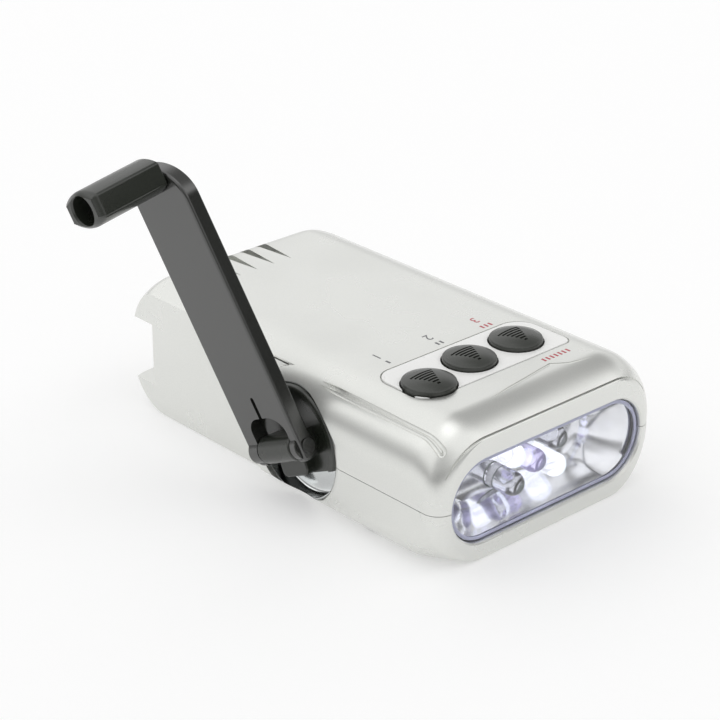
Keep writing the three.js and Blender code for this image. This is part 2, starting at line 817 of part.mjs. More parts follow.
// Drawn about the post's axis: a sleeve with flat sides, domed faces and a stepped bore
function crankKnob() {
  const halfWidth = knobWidth / 2;
  const halfFlat = knobFlatHeight / 2;
  const crown = knobHeight / 2 - halfFlat;
  const crownRadius = (halfWidth ** 2 + crown ** 2) / (2 * crown);
  const crownAngle = Math.asin(halfWidth / crownRadius);
  const near = -armThickness / 2 - slideFit;
  const shape = new THREE.Shape();
  const crownCentre = knobHeight / 2 - crownRadius;
  shape.absarc(0, crownCentre, crownRadius, quarterTurn - crownAngle, quarterTurn + crownAngle);
  shape.absarc(0, -crownCentre, crownRadius, -quarterTurn - crownAngle, crownAngle - quarterTurn);
  const sleeve = prismX(shape, near - knobLength + knobChamfer, near);
  const tipFace = near - knobLength;
  const tip = extruded(shape, knobChamfer);
  const points = tip.getAttribute("position");
  const shrink = (halfWidth - knobChamfer) / halfWidth;
  for (let i = 0; i < points.count; i += 1) {
    const scale = points.getZ(i) > 0 ? 1 : shrink;
    points.setXYZ(i, tipFace + points.getZ(i), points.getX(i) * scale, points.getY(i) * scale);
  }
  const boreStep = -armThickness / 2 - postLength - slideFit;
  return sleeve.add(solidOf(tip))
    .subtract(barX(postRadius + slideFit, tipFace - overrun, near + overrun))
    .subtract(barX(knobBoreRadius, tipFace - overrun, boreStep));
}

function knobScrew() {
  const seat = -armThickness / 2 - postLength - slideFit;
  return barX(knobScrewHeadRadius, seat - knobScrewHeadThickness, seat)
    .add(barX(knobScrewRadius, seat - closeFit, seat + knobScrewLength));
}

// Spur gear across X, with straight flanks and a tooth that points along the given angle from +Y
function gearBody(teeth, x0, x1, toothAngle) {
  const pitchRadius = toothModule * teeth / 2;
  const pitchHalf = (toothModule * halfTurn / 2 - toothBacklash) / 2;
  const shape = new THREE.Shape();
  for (let i = 0; i < teeth; i += 1) {
    const middle = toothAngle + (i / teeth) * fullTurn;
    const flank = [[-1, -toothRoot], [-1, toothHeight], [1, toothHeight], [1, -toothRoot]];
    flank.forEach(([side, rise], k) => {
      const radius = pitchRadius + rise;
      const rootPitch = halfTurn * (pitchRadius - toothRoot) / teeth;
      const half = Math.min(pitchHalf - rise * toothSlope, rootPitch - closeFit / 2);
      const angle = middle + side * half / radius;
      const x = radius * Math.cos(angle);
      const y = radius * Math.sin(angle);
      if (i === 0 && k === 0) {
        shape.moveTo(x, y);
      } else {
        shape.lineTo(x, y);
      }
    });
  }
  return prismX(shape, x0, x1);
}

function mainGear() {
  return gearBody(mainTeeth, mainGearX, mainGearX + mainGearThickness, 0)
    .subtract(barX(shaftRadius + closeFit, mainGearX - overrun, mainGearX + overrun));
}

// Wheel and pinion in one piece; the pinion reaches back to the gear that drives it
function compoundGear(wheelX, drivenAngle) {
  return gearBody(wheelTeeth, wheelX, wheelX + wheelThickness, 0)
    .add(gearBody(pinionTeeth, wheelX - pinionOverlap, wheelX + closeFit, drivenAngle))
    .subtract(barX(axleRadius + closeFit, wheelX - overrun, wheelX + overrun));
}

const pinionPhase = halfTurn + halfTurn / pinionTeeth;

function rotorPinion() {
  return gearBody(pinionTeeth, rotorPinionX, wheelTwoX + wheelThickness + slideFit, pinionPhase)
    .subtract(barX(axleRadius + closeFit, rotorPinionX - overrun, rotorPinionX + overrun));
}

function gearPlate(x, holes) {
  const plate = evenOutline(front + gearPlateStart, front + gearPlateEnd, partingHeight - gearPlateBelow,
    partingHeight + gearPlateAbove, pillarRadius);
  return holes.reduce(
    (rest, [radius, y]) => rest
      .subtract(barX(radius + closeFit, x - overrun, x + overrun, y, partingHeight)),
    prismX(plate, x, x + gearPlateThickness));
}

function pillarPlaces() {
  const ys = [front + gearPlateStart + pillarInset, front + gearPlateEnd - pillarInset];
  const zs = [partingHeight - gearPlateBelow + pillarInset, partingHeight + gearPlateAbove - pillarInset];
  return ys.flatMap((y) => zs.map((z) => [y, z]));
}

const rotorGap = 0.5;
const statorX = rightPlateX + gearPlateThickness;

function rotorMagnet() {
  const x = statorX + rotorGap;
  return barX(magnetRadius, x, x + magnetLength)
    .subtract(barX(axleRadius + closeFit, x - overrun, x + 2 * magnetLength));
}

function statorCan() {
  const end = statorX + statorLength;
  return barX(statorRadius, statorX, end, 0, 0, roundSteps)
    .subtract(barX(statorRadius - statorWall, statorX - overrun, end - statorWall, 0, 0, roundSteps))
    .subtract(barX(axleRadius + closeFit, statorX, end + overrun));
}

function statorCoil() {
  const x = statorX + rotorGap;
  return barX(coilRadius, x, x + coilLength, 0, 0, roundSteps)
    .subtract(barX(magnetRadius + rotorGap, x - overrun, x + coilLength + overrun));
}

function cell() {
  const radius = cellRadius;
  return turned([[0, 0], [radius - cellEdge, 0], [radius, cellEdge], [radius, cellThickness - closeFit],
    [0, cellThickness - closeFit]], roundSteps);
}

const cellZ = wall + trayWall + cellRadius + closeFit;

function cellTray() {
  const y = front + cellSetback;
  const end = cellShift + cellCount * cellThickness;
  const half = cellRadius + trayWall;
  return box(cellShift - trayWall, end + trayWall, y - half, y + half, wall, wall + trayWall + traySideRise)
    .subtract(barX(cellRadius + closeFit, cellShift - closeFit, end, y, cellZ, roundSteps));
}

function caseScrew() {
  return barZ(screwHeadRadius, -screwHeadThickness, 0)
    .add(barZ(screwRadius, -closeFit, screwLength));
}

const torch = new THREE.Group();

function place(group, name, solid, material, x = 0, y = 0, z = 0) {
  const mesh = new THREE.Mesh(geometryOf(solid), material);
  mesh.name = name;
  mesh.position.set(x, y, z);
  group.add(mesh);
  return mesh;
}

place(torch, "lower_shell", lowerShell(), silverPaint);
place(torch, "upper_shell", upperShell(), silverPaint);
place(torch, "lamp_window", lampWindow(), clearPlastic);
place(torch, "reflector", reflector(), mirrorChrome);
place(torch, "lamp_board", lampBoard(), circuitBoard);
lampCentres().forEach(([x, z], i) => {
  const mesh = place(torch, `led_${i + 1}`, lamp(), clearPlastic, x, lampBoardY, windowMiddle + z);
  mesh.rotation.x = quarterTurn;
});

place(torch, "button_plate", buttonPlate(), whitePlastic);
buttonPlaces.forEach(({ name, shift, setback }, i) => {
  place(torch, name, button(), darkPlastic, shift, front + setback, roof - closeFit);
  place(torch, `tact_switch_${i + 1}`, tactSwitch(), blackPlastic, shift, front + setback, tactFoot);
});
place(torch, "switch_board", switchBoard(), circuitBoard);
place(torch, "buzzer", buzzer(), blackPlastic, buzzerShift, front + buzzerSetback,
  tactFoot - boardThickness);

const dish = place(torch, "recess_dish", recessDish(), mirrorChrome, recessFloor, hubY, partingHeight);
dish.rotation.y = -quarterTurn;
place(torch, "crank_bush", crankBush(), brass);

const crank = new THREE.Group();
crank.position.set(0, hubY, partingHeight);
crank.rotation.x = -crankLean;
torch.add(crank);
place(crank, "crank_hub", crankHub(), darkPlastic);
place(crank, "hinge_pin", hingePin(), steel, hingeX, 0, hingeOffset);

const shaft = barX(shaftRadius, hubBackX - shaftGrip, rightPlateX + gearPlateThickness);
place(torch, "crank_shaft", shaft, steel, 0, hubY, partingHeight);
place(torch, "main_gear", mainGear(), nylon, 0, hubY, partingHeight);

const arm = new THREE.Group();
arm.position.set(hingeX, 0, hingeOffset);
arm.rotation.y = -armLean;
crank.add(arm);
place(arm, "crank_arm", crankArm(), armPlastic);
place(arm, "crank_knob", crankKnob(), darkPlastic, 0, 0, armLength);
place(arm, "knob_screw", knobScrew(), steel, 0, 0, armLength);

place(torch, "gear_plate_left", gearPlate(leftPlateX,
  [[shaftRadius, hubY], [axleRadius, firstAxleY], [axleRadius, secondAxleY], [axleRadius, rotorY]]), steel);
place(torch, "gear_plate_right", gearPlate(rightPlateX,
  [[shaftRadius, hubY], [axleRadius, firstAxleY], [axleRadius, secondAxleY], [axleRadius, rotorY]]), steel);
pillarPlaces().forEach(([y, z], i) => {
  const pillar = barX(pillarRadius, leftPlateX + gearPlateThickness, rightPlateX);
  place(torch, `frame_pillar_${i + 1}`, pillar, brass, 0, y, z);
});

[firstAxleY, secondAxleY].forEach((y, i) => {
  const axle = barX(axleRadius, leftPlateX, rightPlateX + gearPlateThickness);
  place(torch, `axle_${i + 1}`, axle, steel, 0, y, partingHeight);
});
place(torch, "gear_1", compoundGear(wheelOneX, pinionPhase), nylon, 0, firstAxleY, partingHeight);
place(torch, "gear_2", compoundGear(wheelTwoX, pinionPhase), nylon, 0, secondAxleY, partingHeight);
place(torch, "rotor_pinion", rotorPinion(), brass, 0, rotorY, partingHeight);
const rotorShaft = barX(axleRadius, leftPlateX, statorX + statorLength);
place(torch, "rotor_shaft", rotorShaft, steel, 0, rotorY, partingHeight);
place(torch, "rotor_magnet", rotorMagnet(), ferrite, 0, rotorY, partingHeight);
place(torch, "stator_can", statorCan(), steel, 0, rotorY, partingHeight);
place(torch, "stator_coil", statorCoil(), copper, 0, rotorY, partingHeight);

place(torch, "cell_tray", cellTray(), blackPlastic);
for (let i = 0; i < cellCount; i += 1) {
  const mesh = place(torch, `cell_${i + 1}`, cell(), cellJacket, cellShift + i * cellThickness,
    front + cellSetback, cellZ);
  mesh.rotation.y = quarterTurn;
}

screwPlaces.forEach(({ shift, setback }, i) => {
  place(torch, `case_screw_${i + 1}`, caseScrew(), steel, shift, front + setback, screwSeatHeight);
});

export default torch;
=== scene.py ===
import json
import math
import bmesh
import bpy
from mathutils import Matrix, Vector
from mathutils.bvhtree import BVHTree
from mathutils.interpolate import poly_3d_calc


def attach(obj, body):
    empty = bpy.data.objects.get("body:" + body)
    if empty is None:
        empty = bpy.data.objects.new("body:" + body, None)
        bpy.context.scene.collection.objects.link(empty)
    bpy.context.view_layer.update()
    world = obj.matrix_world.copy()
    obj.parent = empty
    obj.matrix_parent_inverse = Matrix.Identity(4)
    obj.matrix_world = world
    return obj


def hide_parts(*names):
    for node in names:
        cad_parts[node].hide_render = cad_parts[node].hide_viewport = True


# A pocket torch with a folding hand crank. Shapes are drawn in millimetres and scaled once, when a piece is done.
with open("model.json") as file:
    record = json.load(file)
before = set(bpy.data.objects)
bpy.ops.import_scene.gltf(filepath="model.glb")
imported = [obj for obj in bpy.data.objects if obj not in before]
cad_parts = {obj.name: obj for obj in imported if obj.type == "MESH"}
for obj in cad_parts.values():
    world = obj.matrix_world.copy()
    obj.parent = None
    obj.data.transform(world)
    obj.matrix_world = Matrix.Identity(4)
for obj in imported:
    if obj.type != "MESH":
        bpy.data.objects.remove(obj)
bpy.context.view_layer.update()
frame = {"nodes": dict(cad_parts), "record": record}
cadNodes = frame["nodes"]
scene = bpy.context.scene
millimetre = 0.001
print("frame loaded:", len(cadNodes), "nodes")

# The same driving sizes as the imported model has
case = {
    "halfWidth": 31.0, "front": -51.25, "length": 102.5, "height": 30.3, "parting": 13.3, "wall": 2.0,
    "topRadius": 12.0, "bottomRadius": 7.0, "noseRun": 7.5, "noseDrop": 3.9, "nosePower": 2.0, "chinRun": 1.2, "chinRise": 0.6,
    "frontRadius": 12.5, "frontBlend": 10.0, "frontCorner": 3.8, "rearCornerRight": 12.0, "rearCornerLeft": 10.0,
    "tailRun": 8.5, "tailDrop": 16.3, "heelRadius": 12.5,
    "hubSetback": 42.9, "recessRadius": 12.6, "recessFloor": -24.2, "lipFoot": -28.6, "lipRadius": 2.4,
    "bossRadius": 15.2, "bossFace": -29.6, "bayFace": -26.0, "bayTop": 27.3,
    "notchSetback": 94.0, "notchDepth": 12.5, "notchLow": 6.55, "notchHigh": 20.9,
    "partingGap": 0.12,
}
window = {
    "width": 53.7, "top": 22.0, "bottom": 4.1, "recess": 1.0, "gap": 0.2, "flange": 0.7, "back": 3.0, "lip": 0.45,
    "footWidth": 40.0, "footHeight": 13.2, "depth": 8.9, "wall": 1.0, "boardAt": 11.7,
}
hubY = case["front"] + case["hubSetback"]
hubZ = case["parting"]


def quarter(share):
    return math.sqrt(max(0.0, 1 - share * share))


def smooth(share):
    share = min(max(share, 0.0), 1.0)
    return share * share * (3 - 2 * share)


def blend(a, b, share):
    return a + (b - a) * share


# Mesh helpers

def addObject(name, mesh):
    made = bpy.data.objects.new(name, mesh)
    scene.collection.objects.link(made)
    return made


def solid(name, points, faces):  # a closed body with its faces turned outwards
    mesh = bpy.data.meshes.new(name)
    mesh.from_pydata([tuple(p) for p in points], [], faces)
    made = bmesh.new()
    made.from_mesh(mesh)
    bmesh.ops.remove_doubles(made, verts=made.verts, dist=1e-5)
    bmesh.ops.recalc_face_normals(made, faces=made.faces)
    made.to_mesh(mesh)
    made.free()
    return addObject(name, mesh)


def skin(name, rings, looped=False):  # surface over rings of as many points, with flat ends or closed on itself
    count = len(rings[0])
    points = [p for ring in rings for p in ring]
    faces = []
    for row in range(len(rings) - (0 if looped else 1)):
        low, high = row * count, (row + 1) % len(rings) * count
        faces += [(low + i, low + (i + 1) % count, high + (i + 1) % count, high + i) for i in range(count)]
    if not looped:
        faces.append(tuple(range(count)))
        faces.append(tuple(range(len(points) - count, len(points))))
    return solid(name, points, faces)


def lay(axis, u, v, along):  # u and v lie across the axis: (y, z) for X, (x, z) for Y and (x, y) for Z
    return {"X": (along, u, v), "Y": (u, along, v), "Z": (u, v, along)}[axis]


def prism(name, outline, axis, start, end):
    return skin(name, [[lay(axis, u, v, at) for u, v in outline] for at in (start, end)])


def block(x0, x1, y0, y1, z0, z1):
    return prism("block", [(x0, y0), (x1, y0), (x1, y1), (x0, y1)], "Z", z0, z1)


def turned(name, profile, axis, centre=(0, 0, 0), steps=96, looped=False):  # profile points are (radius, along)
    u0, v0, along0 = {"X": (centre[1], centre[2], centre[0]), "Y": (centre[0], centre[2], centre[1]),
                      "Z": centre}[axis]
    rings = []
    for radius, along in profile:
        turns = [2 * math.pi * (i + 0.5) / steps for i in range(steps)]
        rings.append([lay(axis, u0 + radius * math.cos(t), v0 + radius * math.sin(t), along0 + along) for t in turns])
    return skin(name, rings, looped)


def bar(name, radius, axis, start, end, centre=(0, 0, 0), edge=0.0, steps=96):
    profile = [(radius, start), (radius, end)]
    if edge > 0:
        turns = [math.pi / 2 * i / 6 for i in range(7)]
        profile = [(radius - edge * (1 - math.sin(t)), start + edge * (1 - math.cos(t))) for t in turns]
        profile += [(radius - edge * (1 - math.cos(t)), end - edge * (1 - math.sin(t))) for t in turns]
    return turned(name, profile, axis, centre, steps)


def cornered(x0, x1, y0, y1, corners, steps=12):  # rectangle with quarter-ellipse corners, from the lower right one
    points = []
    for i, (x, y) in enumerate([(x1, y0), (x1, y1), (x0, y1), (x0, y0)]):
        runX, runY = corners[i]
        if min(runX, runY) <= 0:
            points.append((x, y))
            continue
        centreX = x - runX if x == x1 else x + runX
        centreY = y - runY if y == y1 else y + runY
        for k in range(steps + 1):
            angle = (i - 1 + k / steps) * math.pi / 2
            points.append((centreX + runX * math.cos(angle), centreY + runY * math.sin(angle)))
    return points


def evenly(x0, x1, y0, y1, radius, steps=12):
    return cornered(x0, x1, y0, y1, [(radius, radius)] * 4, steps)


def offset(outline, distance):  # moves a convex outline outwards, or inwards when negative
    moved = []
    for i, point in enumerate(outline):
        before, here, after = (Vector(outline[i - 1]), Vector(point), Vector(outline[(i + 1) % len(outline)]))
        a = (here - before).normalized()
        b = (after - here).normalized()
        outwards = Vector((a.y + b.y, -a.x - b.x)).normalized()
        stretch = max(0.5, outwards.dot(Vector((a.y, -a.x))))
        moved.append(tuple(here + outwards * distance / stretch))
    return moved


def slab(name, outline, axis, start, end, edgeStart, edgeEnd, steps=6):  # plate with rounded edges
    rings = []
    for i in range(steps + 1):
        t = math.pi / 2 * i / steps
        rings.append((edgeStart * (math.sin(t) - 1), start + edgeStart * (1 - math.cos(t))))
    for i in range(steps + 1):
        t = math.pi / 2 * i / steps
        rings.append((edgeEnd * (math.cos(t) - 1), end - edgeEnd * (1 - math.sin(t))))
    return skin(name, [[lay(axis, u, v, at) for u, v in offset(outline, out)] for out, at in rings])


def tube(name, path, radii, sides=12):  # path points with a radius each
    rings = []
    side = Vector((0, 0, 1))
    for i, point in enumerate(path):
        along = (Vector(path[min(i + 1, len(path) - 1)]) - Vector(path[max(i - 1, 0)])).normalized()
        side = (side - along * side.dot(along)).normalized()
        cross = along.cross(side)
        turns = [2 * math.pi * k / sides for k in range(sides)]
        rings.append([Vector(point) + (side * math.cos(t) + cross * math.sin(t)) * radii[i] for t in turns])
    return skin(name, rings)


def bake(piece):  # applies the modifiers
    bpy.context.view_layer.update()
    done = piece.evaluated_get(bpy.context.evaluated_depsgraph_get())
    mesh = bpy.data.meshes.new_from_object(done)
    piece.modifiers.clear()
    piece.data = mesh
    return piece


def carve(piece, tools, operation="DIFFERENCE", keep=()):
    for tool in tools:
        step = piece.modifiers.new("carve", "BOOLEAN")
        step.operation = operation
        step.solver = "MANIFOLD"
        step.object = tool
    bake(piece)
    for tool in tools:
        if tool not in keep:
            bpy.data.objects.remove(tool)
    return piece


def turn(piece, matrix):
    piece.data.transform(matrix)
    return piece


def followForm(mesh, form):  # faces that still lie on the uncut form take its smooth normals
    near, alike, inward = 0.004, 0.9, 0.03
    form.shade_smooth()
    form.set_sharp_from_angle(angle=math.radians(20))
    form.calc_loop_triangles()
    corners = [tuple(t.loops) for t in form.loop_triangles]
    faces = [tuple(t.vertices) for t in form.loop_triangles]
    points = [v.co.copy() for v in form.vertices]
    formNormals = [n.vector.copy() for n in form.corner_normals]
    tree = BVHTree.FromPolygons(points, faces)
    normals = [n.vector.copy() for n in mesh.corner_normals]
    for face in mesh.polygons:
        centre = face.center / millimetre
        _, across, _, gap = tree.find_nearest(centre)
        if gap > near or across.dot(face.normal) < alike:
            continue
        for corner in face.loop_indices:
            point = mesh.vertices[mesh.loops[corner].vertex_index].co / millimetre
            place, _, index, _ = tree.find_nearest(point.lerp(centre, inward))
            shares = poly_3d_calc([points[i] for i in faces[index]], place)
            normal = Vector()
            for share, formCorner in zip(shares, corners[index]):
                normal += formNormals[formCorner] * share
            normals[corner] = normal.normalized()
    mesh.normals_split_custom_set(normals)


def finishPiece(piece, body, material, slot, replaced, sharpFrom=32, form=None):
    mesh = piece.data
    mesh.transform(Matrix.Scale(millimetre, 4))
    mesh.materials.clear()
    mesh.materials.append(material)
    for face in mesh.polygons:
        face.material_index = 0
    mesh.shade_smooth()
    mesh.set_sharp_from_angle(angle=math.radians(sharpFrom))
    evened = piece.modifiers.new("evened", "WEIGHTED_NORMAL")
    evened.keep_sharp = True
    bake(piece)
    if form:
        followForm(piece.data, form)
    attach(piece, body)
    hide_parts(*replaced)
    return piece


# Node helpers

def addNode(tree, kind, **settings):
    node = tree.nodes.new(kind)
    for key, value in settings.items():
        setattr(node, key, value)
    return node


def newGroup(name, kind, inputs, outputs):
    tree = bpy.data.node_groups.new(name, kind)
    for label, socket, value in inputs:
        made = tree.interface.new_socket(name=label, in_out="INPUT", socket_type=socket)
        if value is not None:
            made.default_value = value
    for label, socket in outputs:
        tree.interface.new_socket(name=label, in_out="OUTPUT", socket_type=socket)
    return tree, tree.nodes.new("NodeGroupInput"), tree.nodes.new("NodeGroupOutput")


def grainGroup():  # fine speckle and its height, at the size of a flake or of moulded texture
    tree, given, made = newGroup("fineGrain", "ShaderNodeTree",
                                 [("Size", "NodeSocketFloat", 0.0002), ("Detail", "NodeSocketFloat", 2.0)],
                                 [("Speckle", "NodeSocketFloat"), ("Height", "NodeSocketFloat")])
    place = addNode(tree, "ShaderNodeTexCoord")
    scale = addNode(tree, "ShaderNodeMath", operation="DIVIDE")
    scale.inputs[0].default_value = 1
    noise = addNode(tree, "ShaderNodeTexNoise")
    cells = addNode(tree, "ShaderNodeTexVoronoi")
    tree.links.new(given.outputs["Size"], scale.inputs[1])
    for texture in (noise, cells):
        tree.links.new(place.outputs["Object"], texture.inputs["Vector"])
        tree.links.new(scale.outputs[0], texture.inputs["Scale"])
    tree.links.new(given.outputs["Detail"], noise.inputs["Detail"])
    spread = addNode(tree, "ShaderNodeMapRange")
    spread.inputs["From Min"].default_value = 0.3
    spread.inputs["From Max"].default_value = 0.7
    tree.links.new(noise.outputs[0], spread.inputs["Value"])
    tree.links.new(spread.outputs[0], made.inputs["Speckle"])
    tree.links.new(cells.outputs["Distance"], made.inputs["Height"])
    return tree


def handlingGroup():  # broad, faint patches where hands have dulled the surface
    tree, given, made = newGroup("handling", "ShaderNodeTree", [("Size", "NodeSocketFloat", 0.02)],
                                 [("Patch", "NodeSocketFloat")])
    place = addNode(tree, "ShaderNodeTexCoord")
    scale = addNode(tree, "ShaderNodeMath", operation="DIVIDE")
    scale.inputs[0].default_value = 1
    noise = addNode(tree, "ShaderNodeTexNoise")
    noise.inputs["Detail"].default_value = 4
    spread = addNode(tree, "ShaderNodeMapRange", interpolation_type="SMOOTHSTEP")
    spread.inputs["From Min"].default_value = 0.35
    spread.inputs["From Max"].default_value = 0.68
    tree.links.new(given.outputs["Size"], scale.inputs[1])
    tree.links.new(place.outputs["Object"], noise.inputs["Vector"])
    tree.links.new(scale.outputs[0], noise.inputs["Scale"])
    tree.links.new(noise.outputs[0], spread.inputs["Value"])
    tree.links.new(spread.outputs[0], made.inputs["Patch"])
    return tree


fineGrain = grainGroup()
handling = handlingGroup()


def surface(name, dark, light, roughLow, roughHigh, grainSize, relief=0.1, depth=0.00002, metallic=0.0, **fixed):
    material = bpy.data.materials.new(name)
    material.use_nodes = True
    tree = material.node_tree
    shader = tree.nodes["Principled BSDF"]
    grain = addNode(tree, "ShaderNodeGroup", node_tree=fineGrain)
    grain.inputs["Size"].default_value = grainSize
    patches = addNode(tree, "ShaderNodeGroup", node_tree=handling)
    colour = addNode(tree, "ShaderNodeMix", data_type="RGBA")
    colour.inputs["A"].default_value = (*dark, 1)
    colour.inputs["B"].default_value = (*light, 1)
    rough = addNode(tree, "ShaderNodeMapRange")
    rough.inputs["To Min"].default_value = roughLow
    rough.inputs["To Max"].default_value = roughHigh
    bump = addNode(tree, "ShaderNodeBump")
    bump.inputs["Strength"].default_value = relief
    bump.inputs["Distance"].default_value = depth
    tree.links.new(grain.outputs["Speckle"], colour.inputs["Factor"])
    tree.links.new(patches.outputs["Patch"], rough.inputs["Value"])
    tree.links.new(grain.outputs["Height"], bump.inputs["Height"])
    tree.links.new(colour.outputs["Result"], shader.inputs["Base Color"])
    tree.links.new(rough.outputs[0], shader.inputs["Roughness"])
    tree.links.new(bump.outputs[0], shader.inputs["Normal"])
    shader.inputs["Metallic"].default_value = metallic
    for socket, value in fixed.items():
        shader.inputs[socket].default_value = value
    return material


def clear(name, tint, roughness, ior=1.49, transmission=1.0, glow=0.0, glowTint=(1, 1, 1)):
    material = surface(name, tint, tuple(min(1.0, c * 1.03) for c in tint), roughness, roughness + 0.02, 0.004,
                       relief=0, **{"IOR": ior, "Transmission Weight": transmission})
    shader = material.node_tree.nodes["Principled BSDF"]
    if glow > 0:
        shader.inputs["Emission Color"].default_value = (*glowTint, 1)
        shader.inputs["Emission Strength"].default_value = glow
    return material


coat = {"Coat Weight": 0.35, "Coat Roughness": 0.12}
silverPaint = surface("silver paint", (0.74, 0.75, 0.72), (0.79, 0.795, 0.765), 0.27, 0.33, 0.00022,
                      relief=0.03, depth=0.00001, metallic=0.85, **coat)
whitePlate = surface("white plate", (0.89, 0.89, 0.875), (0.93, 0.93, 0.915), 0.25, 0.35, 0.0003, relief=0.05)
buttonPlastic = surface("button plastic", (0.028, 0.031, 0.026), (0.04, 0.043, 0.036), 0.24, 0.32, 0.00025,
                        relief=0.12, **{"IOR": 1.62})
armPlastic = surface("arm plastic", (0.016, 0.017, 0.015), (0.022, 0.023, 0.02), 0.18, 0.24, 0.0003, relief=0.05,
                     depth=0.00001, **{"IOR": 1.9})
knobPlastic = surface("knob plastic", (0.016, 0.019, 0.014), (0.022, 0.025, 0.019), 0.24, 0.32, 0.0003,
                      relief=0.08, depth=0.00001, **{"IOR": 1.65})
dishChrome = surface("dish chrome", (0.72, 0.74, 0.74), (0.78, 0.8, 0.8), 0.14, 0.2, 0.0004, relief=0,
                     metallic=1.0)
reflectorChrome = surface("reflector chrome", (0.94, 0.945, 0.96), (0.97, 0.975, 0.985), 0.13, 0.18, 0.0004,
                          relief=0, metallic=1.0)
steel = surface("steel", (0.5, 0.5, 0.5), (0.6, 0.6, 0.6), 0.22, 0.34, 0.0008, metallic=1.0)
blackSteel = surface("blackened steel", (0.045, 0.046, 0.044), (0.065, 0.066, 0.062), 0.25, 0.35, 0.0006,
                     metallic=0.6)
brass = surface("brass", (0.55, 0.4, 0.16), (0.66, 0.5, 0.22), 0.25, 0.36, 0.0008, metallic=1.0)
nylon = surface("nylon", (0.74, 0.72, 0.64), (0.8, 0.78, 0.7), 0.42, 0.5, 0.0006)
solderMask = surface("solder mask", (0.02, 0.12, 0.05), (0.03, 0.16, 0.07), 0.3, 0.42, 0.0012)
blackPlastic = surface("black plastic", (0.015, 0.015, 0.016), (0.022, 0.022, 0.023), 0.42, 0.52, 0.0004)
ferrite = surface("ferrite", (0.03, 0.03, 0.033), (0.05, 0.05, 0.053), 0.55, 0.65, 0.0004, relief=0.3)
copper = surface("enamelled copper", (0.42, 0.15, 0.06), (0.56, 0.22, 0.09), 0.22, 0.32, 0.0005, metallic=1.0)
cellJacket = surface("cell jacket", (0.6, 0.61, 0.63), (0.68, 0.69, 0.7), 0.2, 0.3, 0.0008, metallic=1.0)
lensPlastic = clear("lens plastic", (0.955, 0.96, 0.985), 0.015)
rimPlastic = clear("lens rim plastic", (0.72, 0.74, 0.95), 0.1, transmission=0.45)
lampClear = clear("clear lamp", (0.80, 0.81, 0.88), 0.05, ior=1.54)
lampViolet = clear("violet lamp", (0.78, 0.74, 0.98), 0.05, ior=1.54, glow=0.06, glowTint=(0.62, 0.55, 1.0))
lampLit = clear("lit lamp", (0.95, 0.96, 1.0), 0.06, transmission=0.85, glow=0.34, glowTint=(0.9, 0.92, 1.0))
greyInk = surface("grey ink", (0.16, 0.16, 0.17), (0.2, 0.2, 0.21), 0.5, 0.6, 0.0002)
redInk = surface("red ink", (0.5, 0.1, 0.12), (0.56, 0.13, 0.15), 0.5, 0.6, 0.0002)
slotMaterials = {
    "board": solderMask, "black_plastic": blackPlastic, "steel": steel, "brass": brass, "nylon": nylon,
    "ferrite": ferrite, "copper": copper, "cell": cellJacket, "silver_paint": silverPaint, "window": lensPlastic,
    "reflector_chrome": reflectorChrome, "dish_chrome": dishChrome, "plate": whitePlate, "button": buttonPlastic,
    "dark_plastic": knobPlastic, "arm_plastic": armPlastic, "led_violet": lampViolet, "led_red": lampClear,
    "led_dark": lampClear, "led_white": lampLit,
}
print("materials made")


# Geometry Nodes trees for what repeats

def rowTree():  # bars in a row, each shorter than the last
    tree, given, made = newGroup("barRow", "GeometryNodeTree", [
        ("Count", "NodeSocketInt", 5), ("Start", "NodeSocketVector", None), ("Step", "NodeSocketVector", None),
        ("Bar", "NodeSocketVector", None), ("Last share", "NodeSocketFloat", 1.0),
        ("Finish", "NodeSocketMaterial", None)], [("Geometry", "NodeSocketGeometry")])
    line = addNode(tree, "GeometryNodeMeshLine", mode="OFFSET")
    cube = addNode(tree, "GeometryNodeMeshCube")
    index = addNode(tree, "GeometryNodeInputIndex")
    last = addNode(tree, "ShaderNodeMath", operation="SUBTRACT")
    last.inputs[1].default_value = 1
    share = addNode(tree, "ShaderNodeMapRange")
    share.inputs["To Min"].default_value = 1
    stretch = addNode(tree, "ShaderNodeCombineXYZ")
    stretch.inputs["Y"].default_value = 1
    stretch.inputs["Z"].default_value = 1
    copies = addNode(tree, "GeometryNodeInstanceOnPoints")
    real = addNode(tree, "GeometryNodeRealizeInstances")
    paint = addNode(tree, "GeometryNodeSetMaterial")
    for source, target in (
            (given.outputs["Count"], line.inputs["Count"]), (given.outputs["Start"], line.inputs["Start Location"]),
            (given.outputs["Step"], line.inputs["Offset"]), (given.outputs["Bar"], cube.inputs["Size"]),
            (given.outputs["Count"], last.inputs[0]), (index.outputs[0], share.inputs["Value"]),
            (last.outputs[0], share.inputs["From Max"]), (given.outputs["Last share"], share.inputs["To Max"]),
            (share.outputs[0], stretch.inputs["X"]), (line.outputs[0], copies.inputs["Points"]),
            (cube.outputs["Mesh"], copies.inputs["Instance"]), (stretch.outputs[0], copies.inputs["Scale"]),
            (copies.outputs[0], real.inputs[0]), (real.outputs[0], paint.inputs["Geometry"]),
            (given.outputs["Finish"], paint.inputs["Material"]), (paint.outputs[0], made.inputs[0])):
        tree.links.new(source, target)
    return tree


